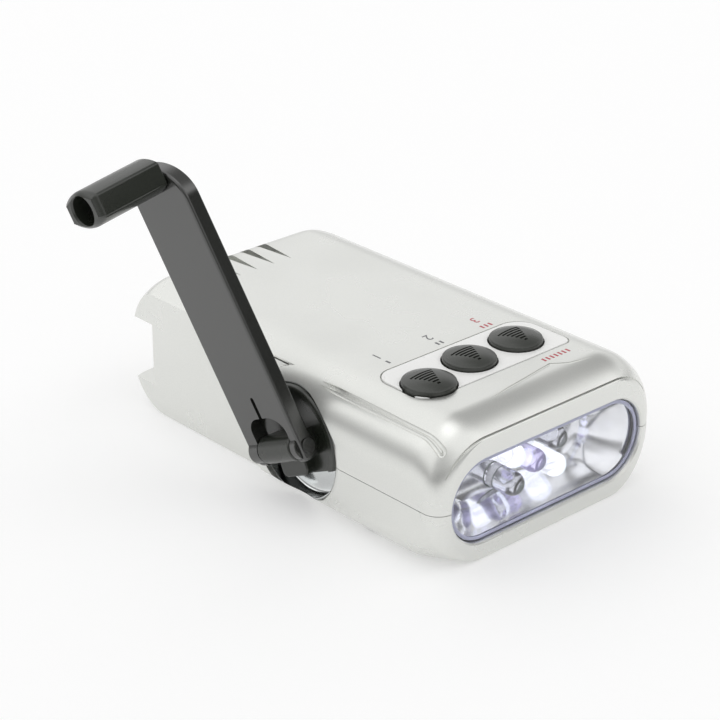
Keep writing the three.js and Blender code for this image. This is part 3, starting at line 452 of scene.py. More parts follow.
def copiesTree():  # one shape on every point of the piece's own mesh
    tree, given, made = newGroup("copiesOnPoints", "GeometryNodeTree", [
        ("Geometry", "NodeSocketGeometry", None), ("Shape", "NodeSocketObject", None),
        ("Finish", "NodeSocketMaterial", None)], [("Geometry", "NodeSocketGeometry")])
    shape = addNode(tree, "GeometryNodeObjectInfo")
    copies = addNode(tree, "GeometryNodeInstanceOnPoints")
    real = addNode(tree, "GeometryNodeRealizeInstances")
    paint = addNode(tree, "GeometryNodeSetMaterial")
    for source, target in (
            (given.outputs["Geometry"], copies.inputs["Points"]), (given.outputs["Shape"], shape.inputs[0]),
            (shape.outputs["Geometry"], copies.inputs["Instance"]), (copies.outputs[0], real.inputs[0]),
            (real.outputs[0], paint.inputs["Geometry"]), (given.outputs["Finish"], paint.inputs["Material"]),
            (paint.outputs[0], made.inputs[0])):
        tree.links.new(source, target)
    return tree


barRow = rowTree()
copiesOnPoints = copiesTree()


def grow(piece, tree, values):  # runs a tree on the piece and keeps its result as a plain mesh
    step = piece.modifiers.new(tree.name, "NODES")
    step.node_group = tree
    for socket in tree.interface.items_tree:
        if socket.in_out == "INPUT" and socket.name in values:
            step[socket.identifier] = values[socket.name]
    return bake(piece)


def barsInRow(name, count, start, step, size, lastShare, material):
    piece = addObject(name, bpy.data.meshes.new(name))
    return grow(piece, barRow, {"Count": count, "Start": start, "Step": step, "Bar": size,
                                "Last share": lastShare, "Finish": material})


# Case

def caseSection(setback, inset, arcSteps, flatSteps):  # outline across the case at a distance from the front
    length = case["length"] - inset
    fromEnd = length - setback
    start = setback - inset
    top = case["height"] - inset
    bottom = inset
    noseRun, noseDrop = case["noseRun"] - inset, case["noseDrop"] - inset
    if start < noseRun:
        top -= noseDrop * (1 - start / noseRun) ** case["nosePower"]
    tailRun, tailDrop = case["tailRun"] - inset, case["tailDrop"] - inset
    if fromEnd < tailRun:
        top -= tailDrop * (1 - quarter(1 - fromEnd / tailRun))
    heel = case["heelRadius"] - inset
    if fromEnd < heel:
        bottom += heel * (1 - quarter(1 - fromEnd / heel))
    chinRun = case["chinRun"]
    if start < chinRun:
        bottom += case["chinRise"] * (1 - quarter(1 - start / chinRun))
    full = case["halfWidth"] - inset
    sides = []
    for corner in (case["rearCornerRight"], case["rearCornerLeft"]):
        half = full
        frontCorner = max(case["frontCorner"] - inset, 0.5)
        if start < frontCorner:
            half -= frontCorner * (1 - quarter(1 - start / frontCorner))
        corner -= inset
        if fromEnd < corner:
            half -= corner * (1 - quarter(1 - fromEnd / corner))
        sides.append(half)
    toBody = smooth(start / case["frontBlend"])
    middle = case["parting"] + 0.1
    fullTop = case["height"] - inset
    share = (top - middle) / (fullTop - middle) if fromEnd < tailRun else 1
    topRadius = blend(case["frontRadius"], case["topRadius"], toBody) - inset
    lowRadius = blend(case["frontRadius"], case["bottomRadius"], toBody) - inset
    lowShare = (middle - bottom) / (middle - inset) if fromEnd < heel else 1
    topRadius, lowRadius = max(topRadius * share, 0.2), max(lowRadius * lowShare, 0.2)
    points = []

    def arc(side, up, radius):
        half = sides[0] if side > 0 else sides[1]
        inner = (full - blend(case["frontRadius"] - inset, (case["topRadius"] if up > 0 else case["bottomRadius"])
                              - inset, toBody)) * (half / full if fromEnd < case["rearCornerRight"] else 1)
        centreZ = top - radius if up > 0 else bottom + radius
        runX = half - inner
        base = {(1, -1): -90, (1, 1): 0, (-1, 1): 90, (-1, -1): 180}[(side, up)]
        for k in range(arcSteps + 1):
            angle = math.radians(base + 90 * k / arcSteps)
            points.append((side * inner + runX * math.cos(angle), centreZ + radius * math.sin(angle)))

    arc(1, -1, lowRadius)
    arc(1, 1, topRadius)
    arc(-1, 1, topRadius)
    arc(-1, -1, lowRadius)
    outline = []
    corners = [points[i * (arcSteps + 1):(i + 1) * (arcSteps + 1)] for i in range(4)]
    for i, corner in enumerate(corners):
        following = corners[(i + 1) % 4][0]
        outline += corner
        steps = flatSteps[i]
        here = corner[-1]
        outline += [(blend(here[0], following[0], k / steps), blend(here[1], following[1], k / steps))
                    for k in range(1, steps)]
    return outline


def caseForm(name, inset, arcSteps, flatSteps, noseSteps, tailSteps, bodyStep):
    noseRun, heel, length = case["noseRun"], case["heelRadius"] - inset, case["length"] - 2 * inset
    stations = [noseRun * (1 - math.cos(math.pi / 2 * i / noseSteps)) for i in range(noseSteps)]
    count = round((length - noseRun - heel) / bodyStep)
    stations += [blend(noseRun, length - heel, i / count) for i in range(count)]
    stations += [length - heel * (1 - math.sin(math.pi / 2 * i / tailSteps)) for i in range(tailSteps + 1)]
    rings = []
    for station in stations:
        setback = station + inset
        rings.append([(x, case["front"] + setback, z)
                      for x, z in caseSection(setback, inset, arcSteps, flatSteps)])
    return skin(name, rings)


far = 20.0  # how far a cutting shape reaches past the case


def bayBlock(margin):
    return block(-case["halfWidth"] - far, case["bayFace"] + margin, hubY, -case["front"] + far,
                 -far, case["height"] + far)


def notchBlock(margin):
    return block(-case["halfWidth"] - far, case["bayFace"] + case["notchDepth"] + margin,
                 case["front"] + case["notchSetback"] - margin, -case["front"] + far,
                 case["notchLow"] - margin, case["notchHigh"] + margin)


def recessBore(margin):  # bore with a rounded mouth
    radius, lip, face = case["recessRadius"] + margin, case["lipRadius"], case["lipFoot"]
    profile = [(radius, case["recessFloor"] + margin), (radius, face)]
    profile += [(radius + lip * (1 - math.cos(t)), face - lip * math.sin(t))
                for t in (math.pi / 2 * i / 10 for i in range(1, 11))]
    profile.append((radius + lip, -case["halfWidth"] - far))
    return turned("bore", profile, "X", (0, hubY, hubZ), 160)


def stadium(width, top, bottom, steps=20):
    radius = (top - bottom) / 2 - 0.02
    return evenly(-width / 2, width / 2, bottom, top, radius, steps)


def topPoint(setback, shift):  # a point on the roof
    outline = caseSection(setback, 0, 24, [4, 4, 4, 4])
    above = [p for p in outline if p[1] > case["parting"] + 8]
    above.sort(key=lambda p: p[0])
    for a, b in zip(above, above[1:]):
        if a[0] <= shift <= b[0]:
            return Vector((shift, case["front"] + setback, blend(a[1], b[1], (shift - a[0]) / max(b[0] - a[0], 1e-6))))
    return Vector((shift, case["front"] + setback, above[0][1]))


def shoulderPoint(setback, angle):  # a point on the left shoulder, the angle counted up from the side
    arcSteps = 90
    outline = caseSection(setback, 0, arcSteps, [2, 2, 2, 2])
    first = 2 * (arcSteps + 2)
    at = (90 - angle) / 90 * arcSteps
    low = int(min(max(at, 0), arcSteps - 1))
    a, b = outline[first + low], outline[first + low + 1]
    return Vector((blend(a[0], b[0], at - low), case["front"] + setback, blend(a[1], b[1], at - low)))


grooves = {"setbacks": [38.5, 7.8, 3.1], "angles": [[51.5, 50.2, 49.4], [47.3, 46.4, 43.2]], "radius": 0.46,
           "sink": 0.06, "endRun": 0.5, "ribRadius": 0.8, "ribSink": -0.5}
crease = {"setbackTop": 0.32, "setbackSide": 1.05, "radius": 0.24, "sink": 0.1, "endShare": 0.24}
brow = {"places": [(-11.5, 6.2), (-8.7, 6.6), (0.0, 7.8), (6.5, 8.8), (8.8, 9.1), (10.2, 8.0), (12.0, 6.9),
                   (15.0, 6.3), (18.6, 5.8)], "radius": 0.36}
seam = {"from": 48.5, "to": 62.0, "low": 27.3, "high": 27.68, "depth": 1.2}  # over the bay, behind the boss
vents = {"count": 4, "pitch": 4.8, "shift": -1.1, "setback": 84.8, "length": 12.0, "radius": 1.75, "sink": 0.9,
         "narrow": 0.8, "deep": 1.45}


def inwards(point, distance):  # a little way from the skin towards the middle of the case
    middle = Vector((point.x * 0.5, point.y + 6, blend(case["parting"], point.z, 0.5)))
    return point + (middle - point).normalized() * distance


def grooveTools():  # up one lane, round the front end and back along the other, and lower between the two
    steps, turns = 60, 10
    rearSetback, bend, frontSetback = grooves["setbacks"]

    def lane(angles):
        rearAngle, bendAngle, frontAngle = angles
        places = []
        for i in range(steps + 1):
            setback = blend(rearSetback, frontSetback, i / steps)
            if setback > bend:
                places.append((setback, blend(bendAngle, rearAngle, (setback - bend) / (rearSetback - bend))))
            else:
                places.append((setback, blend(frontAngle, bendAngle, (setback - frontSetback)
                                              / (bend - frontSetback))))
        return places

    upper, lower = (lane(angles) for angles in grooves["angles"])
    high, low = upper[-1][1], lower[-1][1]
    around = [(frontSetback - grooves["endRun"] * math.sin(math.pi * i / turns),
               (high + low) / 2 + (high - low) / 2 * math.cos(math.pi * i / turns)) for i in range(1, turns)]
    places = upper + around + lower[::-1]
    path = [inwards(shoulderPoint(setback, angle), grooves["sink"]) for setback, angle in places]
    radii = [grooves["radius"] * smooth((rearSetback - setback) / 6 + 0.05) for setback, _ in places]
    middle = [inwards(shoulderPoint(a[0], (a[1] + b[1]) / 2), grooves["ribSink"]) for a, b in zip(upper, lower)]
    ribRadii = [grooves["ribRadius"] * smooth((rearSetback - a[0]) / 6 + 0.05) for a in upper]
    return [tube("groove", path, radii), tube("rib", middle, ribRadii)]


def creaseTool():  # fine line between the nose and the flat bezel
    arcSteps = 36
    path, radii = [], []
    for base, rising in ((arcSteps + 2, True), (2 * (arcSteps + 2), False)):
        for k in range(arcSteps + 1):
            share = k / arcSteps if rising else 1 - k / arcSteps
            setback = blend(crease["setbackSide"], crease["setbackTop"], smooth(share))
            x, z = caseSection(setback, 0, arcSteps, [2, 2, 2, 2])[base + k]
            path.append(inwards(Vector((x, case["front"] + setback, z)), crease["sink"]))
            radii.append(crease["radius"] * (smooth((share - crease["endShare"]) * 5) + 0.02))
    return tube("crease", path, radii, 8)


def browTool():
    path, radii = [], []
    places = brow["places"]
    for (x0, s0), (x1, s1) in zip(places, places[1:]):
        steps = max(2, round(abs(x1 - x0) / 0.5))
        path += [topPoint(blend(s0, s1, k / steps), blend(x0, x1, k / steps)) for k in range(steps)]
    reach = places[-1][0] - places[0][0]
    for point in path:
        share = (point.x - places[0][0]) / reach
        radii.append(brow["radius"] * (smooth(share * 4) * smooth((1 - share) * 4) + 0.02))
        point.z -= 0.02
    return tube("brow", path, radii)


def seamTool():
    return block(case["bayFace"] - 1, case["bayFace"] + seam["depth"], case["front"] + seam["from"],
                 case["front"] + seam["to"], seam["low"], seam["high"])


def ventTool():  # tapering scoops that run out over the tail
    scoop = turned("scoop", [(0.02, 0), (vents["radius"], vents["length"])], "Y", (0, 0, 0), 32)
    lean = Matrix.Rotation(-math.atan(vents["sink"] / vents["length"]), 4, "X")
    turn(scoop, lean @ Matrix.Diagonal((vents["narrow"], 1, vents["deep"], 1)))
    start = Vector((vents["shift"] + (1 - vents["count"]) / 2 * vents["pitch"],
                    case["front"] + vents["setback"], case["height"] + 0.05))
    mesh = bpy.data.meshes.new("ventPlaces")
    mesh.from_pydata([start + Vector((i * vents["pitch"], 0, 0)) for i in range(vents["count"])], [], [])
    tool = grow(addObject("ventTool", mesh), copiesOnPoints, {"Shape": scoop, "Finish": silverPaint})
    bpy.data.objects.remove(scoop)
    return tool


plate = {"shift": -0.5, "setback": 21.25, "width": 41.4, "length": 15.1, "radii": [2.2, 5.0, 4.2, 3.6], "top": 30.4,
         "thickness": 1.0, "gap": 0.28}
buttons = {
    "places": [(-15.6, 18.6), (-2.1, 21.0), (11.4, 21.2)], "radius": 5.55, "gap": 0.3, "foot": 28.2,
    "flange": 6.3, "flangeThickness": 1.0, "stem": 1.8, "stemLength": 1.0, "wallTop": 31.4, "domeTop": 32.35, "crownPower": 2.7,
    "edge": 0.4, "lines": 7, "linesFrom": (-0.5, 1.8), "lineStep": 0.84, "lineLength": 5.8, "lineWidth": 0.48, "lineDepth": 0.35,
    "lastShare": 0.14,
}
screws = {"places": [(-24, 23), (24.3, 23), (24, 88), (-4.5, 96)], "seat": 5.3, "head": 2.6, "shank": 1.3,
          "headThickness": 1.8, "length": 14.0, "post": 3.6, "hole": 2.9}


def plateOutline(margin):
    middleY = case["front"] + plate["setback"]
    halfX, halfY = plate["width"] / 2 + margin, plate["length"] / 2 + margin
    return cornered(plate["shift"] - halfX, plate["shift"] + halfX, middleY - halfY, middleY + halfY,
                    [(radius + margin, radius + margin) for radius in plate["radii"]])


def buttonHoles():
    return [bar("hole", buttons["radius"] + buttons["gap"], "Z", 20, 40, (x, case["front"] + s, 0))
            for x, s in buttons["places"]]


def lowerZone(gap):  # what belongs to the lower shell: the base, and the wall round the bay and the notch
    left, right = -case["halfWidth"] - far, case["halfWidth"] + far
    rear = -case["front"] + far
    inner = case["bayFace"] + case["wall"] + 0.1
    zone = block(left, right, case["front"] - far, rear, -far, case["parting"] + gap)
    wall = block(left, inner, hubY + case["bossRadius"], rear, 0.5, case["bayTop"])
    notch = block(left, case["bayFace"] + case["notchDepth"] + case["wall"] + 0.1,
                  case["front"] + case["notchSetback"] - case["wall"] - 0.1, rear, 0.6,
                  case["notchHigh"] + case["wall"] + 0.1)
    return carve(zone, [wall, notch], "UNION")


def emptyCase():
    body = caseForm("body", 0, 32, [12, 44, 12, 30], 26, 30, 0.9)
    boss = bar("boss", case["bossRadius"], "X", case["bossFace"], 0, (0, hubY, hubZ), 0.0, 160)
    bay = carve(bayBlock(0), [boss])
    carve(body, [bay, recessBore(0), notchBlock(0)])
    cavity = caseForm("cavity", case["wall"], 10, [3, 8, 3, 8], 8, 10, 6.0)
    carve(cavity, [bayBlock(case["wall"]), recessBore(case["wall"]), notchBlock(case["wall"])])
    posts = [bar("post", screws["post"], "Z", -far, 60, (x, case["front"] + s, 0), 0, 48)
             for x, s in screws["places"]]
    carve(cavity, posts)
    opening = prism("opening", stadium(window["width"], window["top"], window["bottom"]), "Y",
                    case["front"] - far, case["front"] + far)
    lip = skin("lip", [[lay("Y", u, v, case["front"] + at) for u, v in
                        stadium(window["width"] + 2 * out, window["top"] + out, window["bottom"] - out)]
                       for out, at in ((window["lip"] + 0.2, -0.2), (window["lip"], 0), (0.12, window["lip"] * 0.6),
                                       (-0.05, window["lip"] + 0.3))])
    bush = bar("bushHole", 4.1, "X", -40, 0, (0, hubY, hubZ), 0, 48)
    carve(body, [cavity, opening, lip, bush, browTool(), creaseTool(), seamTool(), ventTool(), *grooveTools()])
    return body


def makeCase():
    body = emptyCase()
    lower = addObject("lowerCase", body.data.copy())
    upper = addObject("upperCase", body.data.copy())
    bpy.data.objects.remove(body)
    carve(lower, [lowerZone(0)], "INTERSECT")
    heads = [bar("head", screws["hole"], "Z", -far, screws["seat"], (x, case["front"] + s, 0), 0, 48)
             for x, s in screws["places"]]
    shanks = [bar("shank", screws["shank"] + 0.3, "Z", -far, case["parting"] + 1, (x, case["front"] + s, 0), 0, 32)
              for x, s in screws["places"]]
    carve(lower, heads + shanks)
    seat = prism("seat", plateOutline(plate["gap"]), "Z", plate["top"] - plate["thickness"], 40)
    pilots = [bar("pilot", screws["shank"] + 0.1, "Z", 0, screws["seat"] + screws["length"] + 2,
                  (x, case["front"] + s, 0), 0, 32) for x, s in screws["places"]]
    carve(upper, [lowerZone(case["partingGap"]), seat, *buttonHoles(), *pilots])
    form = caseForm("form", 0, 32, [12, 44, 12, 30], 26, 30, 0.9)
    finishPiece(lower, "case", silverPaint, "silver_paint", ["lower_shell"], 20, form.data)
    finishPiece(upper, "case", silverPaint, "silver_paint", ["upper_shell"], 20, form.data)
    bpy.data.objects.remove(form)
    print("case:", len(lower.data.polygons), len(upper.data.polygons), "faces")


# Lamp window, reflector and lamps

lamps = {"radius": 2.5, "length": 8.6, "flange": 2.9, "flangeThickness": 0.8, "side": 6.0, "row": 3.1}


def makeWindow():
    gap = window["gap"]
    outline = stadium(window["width"] - 2 * gap, window["top"] - gap, window["bottom"] + gap)
    front = case["front"] + window["recess"]
    back = case["front"] + window["back"]
    lens = slab("lampLens", outline, "Y", front, back, 0.7, 0.05)
    flange = prism("flange", offset(outline, window["flange"]), "Y", case["front"] + case["wall"] + 0.02, back)
    carve(lens, [flange], "UNION")
    finishPiece(lens, "case", lensPlastic, "window", ["lamp_window"])
    rings = []
    for inset, at in ((gap + 0.05, front - 0.05), (1.0, front - 0.05), (1.0, front + 0.6), (gap + 0.05, front + 0.3)):
        rings.append([lay("Y", u, v, at) for u, v in stadium(window["width"] - 2 * inset, window["top"] - inset,
                                                             window["bottom"] + inset)])
    finishPiece(skin("lensRim", rings, looped=True), "case", rimPlastic, "window", ["lamp_window"])


def lampPlaces():
    middle = (window["top"] + window["bottom"]) / 2 + 0.6
    corners = [(side * lamps["side"], middle + row * lamps["row"]) for side in (-1, 1) for row in (-1, 1)]
    return [(0.0, middle), *corners]


def makeReflector():
    near = case["front"] + window["back"] + 0.02
    back = near + window["depth"]
    middle = (window["top"] + window["bottom"]) / 2
    rings = []
    shapes = [(window["width"], window["top"] - middle, near), (window["footWidth"], window["footHeight"] / 2, back)]
    steps = 10
    for out in (0, -1):
        order = range(steps + 1) if out == 0 else range(steps, -1, -1)
        for k in order:
            share = k / steps
            bow = math.sin(share * math.pi / 2)
            width = blend(shapes[0][0], shapes[1][0], bow) + 2 * out * window["wall"] * (0.5 + share / 2)
            half = blend(shapes[0][1], shapes[1][1], bow) + out * window["wall"] * (0.5 + share / 2)
            at = blend(near, back, share) if out == 0 else blend(near - 0.01, back - window["wall"], share)
            rings.append([lay("Y", u, v, at) for u, v in stadium(width, middle + half, middle - half)])
    outer = skin("reflectorShell", rings[:steps + 1])
    inner = skin("hollow", [*rings[steps + 1:], [(x, y - 2, z) for x, y, z in rings[-1]]])
    holes = [bar("lampHole", lamps["radius"] + 0.3, "Y", back - 4, back + 4, (x, 0, z), 0, 48)
             for x, z in lampPlaces()]
    carve(outer, [inner, *holes])
    finishPiece(outer, "case", reflectorChrome, "reflector_chrome", ["reflector"], 40)


def makeLamps():
    finishes = [("led_violet", lampViolet), ("led_red", lampClear), ("led_white", lampLit),
                ("led_white", lampLit), ("led_dark", lampClear)]
    dome = lamps["length"] - lamps["radius"]
    profile = [(0, 0), (lamps["flange"], 0), (lamps["flange"], lamps["flangeThickness"]),
               (lamps["radius"], lamps["flangeThickness"]), (lamps["radius"], dome)]
    profile += [(lamps["radius"] * math.cos(t), dome + lamps["radius"] * math.sin(t))
                for t in (math.pi / 2 * i / 14 for i in range(1, 15))]
    for i, ((x, z), (slot, material)) in enumerate(zip(lampPlaces(), finishes)):
        lamp = turned(f"lamp{i + 1}", profile, "Z", (0, 0, 0), 48)
        turn(lamp, Matrix.Translation((x, case["front"] + window["boardAt"], z)) @ Matrix.Rotation(math.pi / 2, 4, "X"))
        finishPiece(lamp, "case", material, slot, [f"led_{i + 1}"])


# Buttons on their plate

def makePlate():
    piece = slab("buttonPlate", plateOutline(0), "Z", plate["top"] - plate["thickness"], plate["top"], 0.02, 0.2)
    carve(piece, buttonHoles())
    finishPiece(piece, "case", whitePlate, "plate", ["button_plate"])


def makeButtons():
    foot, radius, edge = buttons["foot"], buttons["radius"], buttons["edge"]
    shoulder = buttons["wallTop"]
    low = foot - buttons["flangeThickness"]
    profile = [(0, low - buttons["stemLength"]), (buttons["stem"], low - buttons["stemLength"]),
               (buttons["stem"], low), (buttons["flange"], low), (buttons["flange"], foot), (radius, foot),
               (radius, shoulder - edge)]
    profile += [(radius - edge * (1 - math.cos(t)), shoulder - edge * (1 - math.sin(t)))
                for t in (math.pi / 2 * i / 6 for i in range(1, 7))]
    rimRadius = radius - edge
    rise = buttons["domeTop"] - shoulder
    crown = [(rimRadius * (1 - i / 24), shoulder + rise * (1 - (1 - i / 24) ** buttons["crownPower"]))
             for i in range(25)]
    profile += crown[1:]
    for i, (x, setback) in enumerate(buttons["places"]):
        y = case["front"] + setback
        button = turned(f"button{i + 1}", profile, "Z", (x, y, 0), 128)
        lines = barsInRow("lines", buttons["lines"], (x + buttons["linesFrom"][0], y + buttons["linesFrom"][1],
                                                      buttons["domeTop"] + 0.6),
                          (0, -buttons["lineStep"], 0),
                          (buttons["lineLength"], buttons["lineWidth"], 2 * (0.6 + rise)),
                          buttons["lastShare"], buttonPlastic)
        below = turned("below", [(r, at - buttons["lineDepth"]) for r, at in crown]
                       + [(0, shoulder - 2 * rise), (rimRadius, shoulder - 2 * rise)], "Z", (x, y, 0), 64, looped=True)
        carve(lines, [below])
        carve(button, [lines])
        finishPiece(button, f"button_{'abc'[i]}", buttonPlastic, "button", [f"button_{i + 1}"])
    print("buttons made")


# Generic marks on the roof: a number and a short row of bars for each button

marks = {"rise": 0.02, "size": 3.4, "places": [(-14.5, 35.0, "1", 0), (-0.6, 34.6, "2", 0), (12.4, 34.2, "3", 1)],
         "barSize": (0.5, 1.3), "barPitch": 1.15, "barSetback": 2.6, "frontPlace": (12.6, 11.2), "frontBars": 7}


def makeMarks():
    roof = case["height"]
    inks = [greyInk, redInk]
    pieces = {0: [], 1: []}
    for x, setback, digit, ink in marks["places"]:
        curve = bpy.data.curves.new("number", "FONT")
        curve.body = digit
        curve.size = marks["size"]
        curve.align_x = "CENTER"
        curve.align_y = "CENTER"
        curve.extrude = marks["rise"]
        number = addObject("number", curve)
        bpy.context.view_layer.update()
        mesh = bpy.data.meshes.new_from_object(number.evaluated_get(bpy.context.evaluated_depsgraph_get()))
        bpy.data.objects.remove(number)
        mesh.transform(Matrix.Translation((x, case["front"] + setback, roof)) @ Matrix.Rotation(math.pi, 4, "Z"))
        pieces[ink].append(addObject("numberMesh", mesh))
        count = int(digit)
        pieces[ink].append(barsInRow("bars", count, (x - (count - 1) / 2 * marks["barPitch"],
                                                     case["front"] + setback - marks["barSetback"] - 0.9, roof),
                                     (marks["barPitch"], 0, 0), (*marks["barSize"], 2 * marks["rise"]), 1.0, inks[ink]))
    x, setback = marks["frontPlace"]
    count = marks["frontBars"]
    pieces[1].append(barsInRow("bars", count, (x - (count - 1) / 2 * marks["barPitch"], case["front"] + setback,
                                               roof), (marks["barPitch"], 0, 0),
                               (*marks["barSize"], 2 * marks["rise"]), 1.0, redInk))
    for ink, parts in pieces.items():
        joined = bmesh.new()
        for part in parts:
            joined.from_mesh(part.data)
            bpy.data.objects.remove(part)
        mesh = bpy.data.meshes.new("marks")
        joined.to_mesh(mesh)
        joined.free()
        made = addObject(("greyMarks", "redMarks")[ink], mesh)
        finishPiece(made, "case", inks[ink], "plate", [])


# Crank: dish, hub, hinge, arm and knob

crank = {
    "lean": 25.0, "armLean": 9.3, "hubRadius": 12.3, "hubFace": -29.7, "hubBack": -25.6, "hubFlat": -6.9,
    "shoulderDrop": -3.6, "shoulderReach": 4.8, "chinProud": 1.5, "chinForward": -3.6, "chinCorner": 1.5,
    "hingeX": -33.0, "hingeZ": -0.26, "pinRadius": 1.0, "pinHead": 1.5, "knuckle": 2.9,
    "armWidth": 17.4, "armThickness": 3.4, "armLength": 60.7, "armTail": 2.9, "armEnd": 2.1,
    "forkForward": -6.3, "forkRear": 4.9, "forkReach": 7.5, "eye": 2.7, "eyeSetback": 0.85,
    "slitWidth": 1.0, "slitLength": 4.7, "post": 2.0, "postLength": 10.0, "edge": 0.7, "fit": 0.3,
}
knob = {"length": 16.9, "width": 11.0, "flat": 4.6, "height": 7.8, "chamfer": 1.0, "bore": 3.1, "screwHead": 2.7,
        "screwHeadThickness": 1.4, "screwRadius": 0.9, "screwLength": 6.0, "play": 0.1}
crankFrame = Matrix.Translation((0, hubY, hubZ)) @ Matrix.Rotation(math.radians(-crank["lean"]), 4, "X")
armFrame = (crankFrame @ Matrix.Translation((crank["hingeX"], 0, crank["hingeZ"]))
            @ Matrix.Rotation(math.radians(-crank["armLean"]), 4, "Y"))


def makeDish():  # shallow bowl whose wall lines the bore up to the mouth
    bore, floor, sheet = 4.3, case["recessFloor"], 0.6
    outer = case["recessRadius"] - 0.02
    inner = crank["hubRadius"] + 0.12
    run, rise = 2.2, 0.75
    profile = [(bore, 0), (bore, -sheet)]
    profile += [(inner - run * (1 - math.sin(t)), -sheet - rise * (1 - math.cos(t)))
                for t in (math.pi / 2 * i / 10 for i in range(11))]
    profile += [(inner, case["lipFoot"] - floor), (outer, case["lipFoot"] - floor), (outer, 0)]
    dish = turned("recessDish", profile, "X", (floor, hubY, hubZ), 160, looped=True)
    carve(dish, [caseForm("form", 0.05, 32, [12, 44, 12, 30], 26, 30, 0.9)], "INTERSECT")
    finishPiece(dish, "case", dishChrome, "dish_chrome", ["recess_dish"], 24)


def makeHub():
    face, back, radius, fit = crank["hubFace"], crank["hubBack"], crank["hubRadius"], crank["fit"]
    hinge = (crank["hingeX"], 0, crank["hingeZ"])
    start, end = crank["forkForward"] + fit, crank["forkRear"] - fit
    forkSpace = crank["armWidth"] / 2 + fit
    sweep = math.hypot(crank["armTail"], crank["armThickness"] / 2) + fit
    low, wide = -radius - 5, radius + 1
    hub = bar("crankHub", radius, "X", face, back, (0, 0, 0), 0.7, 160)
    carve(hub, [block(face - 5, back + 5, -wide, wide, low, crank["hubFlat"]),
                block(face - 5, back + 5, crank["shoulderReach"], wide, low, crank["shoulderDrop"])])
    carve(hub, [bar("cup", radius - 1.6, "X", face - 5, face + 0.8, (0, 0, 0), 0, 128)])
    carve(hub, [bar("trough", sweep, "Y", -forkSpace, start, hinge), bar("trough", sweep, "Y", end, forkSpace, hinge)])
    corner = (crank["chinCorner"], crank["chinCorner"])
    chin = slab("chin", cornered(crank["chinForward"], crank["shoulderReach"] - 0.02, crank["hubFlat"] + 0.02,
                                 crank["hingeZ"], [corner, (0, 0), (0, 0), corner]), "X",
                face - crank["chinProud"], back - 0.02, 0.45, 0.02)
    knuckle = crank["knuckle"]
    root = block(crank["hingeX"], face + 1.2, start + 0.02, end - 0.02, hinge[2] - knuckle + 0.02,
                 hinge[2] + knuckle - 0.02)
    carve(hub, [bar("knuckle", knuckle, "Y", start, end, hinge, 0.4, 96), root, chin], "UNION")
    carve(hub, [bar("pinBore", crank["pinRadius"] + 0.3, "Y", -12, 12, hinge, 0, 48),
                bar("shaftBore", 2.6, "X", back - 3.8, back + 5, (0, 0, 0), 0, 48)])
    finishPiece(turn(hub, crankFrame), "crank", knobPlastic, "dark_plastic", ["crank_hub"])
    head = -crank["armWidth"] / 2 - fit
    pin = bar("hingePin", crank["pinRadius"], "Y", head - 0.1, crank["armWidth"] / 2, hinge, 0.1, 48)
    carve(pin, [bar("pinHead", crank["pinHead"], "Y", head - 0.3, head + 0.1, hinge, 0.15, 64)], "UNION")
    finishPiece(turn(pin, crankFrame), "crank", blackSteel, "steel", ["hinge_pin"])


def makeArm():
    half, thick = crank["armWidth"] / 2, crank["armThickness"] / 2
    top = crank["armLength"] + crank["armEnd"]
    outline = cornered(-half, half, -crank["armTail"], top, [(2.4, 2.4), (5, 4), (11.5, 8.4), (0.8, 0.8)], 16)
    arm = slab("crankArm", outline, "X", -thick, thick, crank["edge"], 0.35)
    fork = cornered(crank["forkForward"], crank["forkRear"], -20, crank["forkReach"],
                    [(0, 0), (3.4, 3.0), (4.8, 3.8), (0, 0)], 16)
    slitTop = crank["forkReach"] + crank["slitLength"]
    slit = cornered(-crank["slitWidth"] / 2, crank["slitWidth"] / 2, 0, slitTop,
                    [(0, 0), (0.5, 0.5), (0.5, 0.5), (0, 0)], 8)
    carve(arm, [prism("fork", fork, "X", -9, 9), prism("slit", slit, "X", -9, 9)])
    eyes = [bar("eye", crank["eye"], "Y", crank["eyeSetback"] - half, crank["forkForward"], (0, 0, 0), 0, 96),
            bar("eye", crank["eye"], "Y", crank["forkRear"], half - crank["eyeSetback"], (0, 0, 0), 0, 96)]
    post = bar("post", crank["post"], "X", -thick - crank["postLength"], 0, (0, 0, crank["armLength"]), 0.2, 48)
    carve(arm, [*eyes, post], "UNION")
    carve(arm, [bar("pinBore", crank["pinRadius"] + 0.3, "Y", -12, 12, (0, 0, 0), 0, 48),
                bar("screwBore", 1.0, "X", -20, -thick, (0, 0, crank["armLength"]), 0, 32)])
    finishPiece(turn(arm, armFrame), "arm", armPlastic, "arm_plastic", ["crank_arm"])


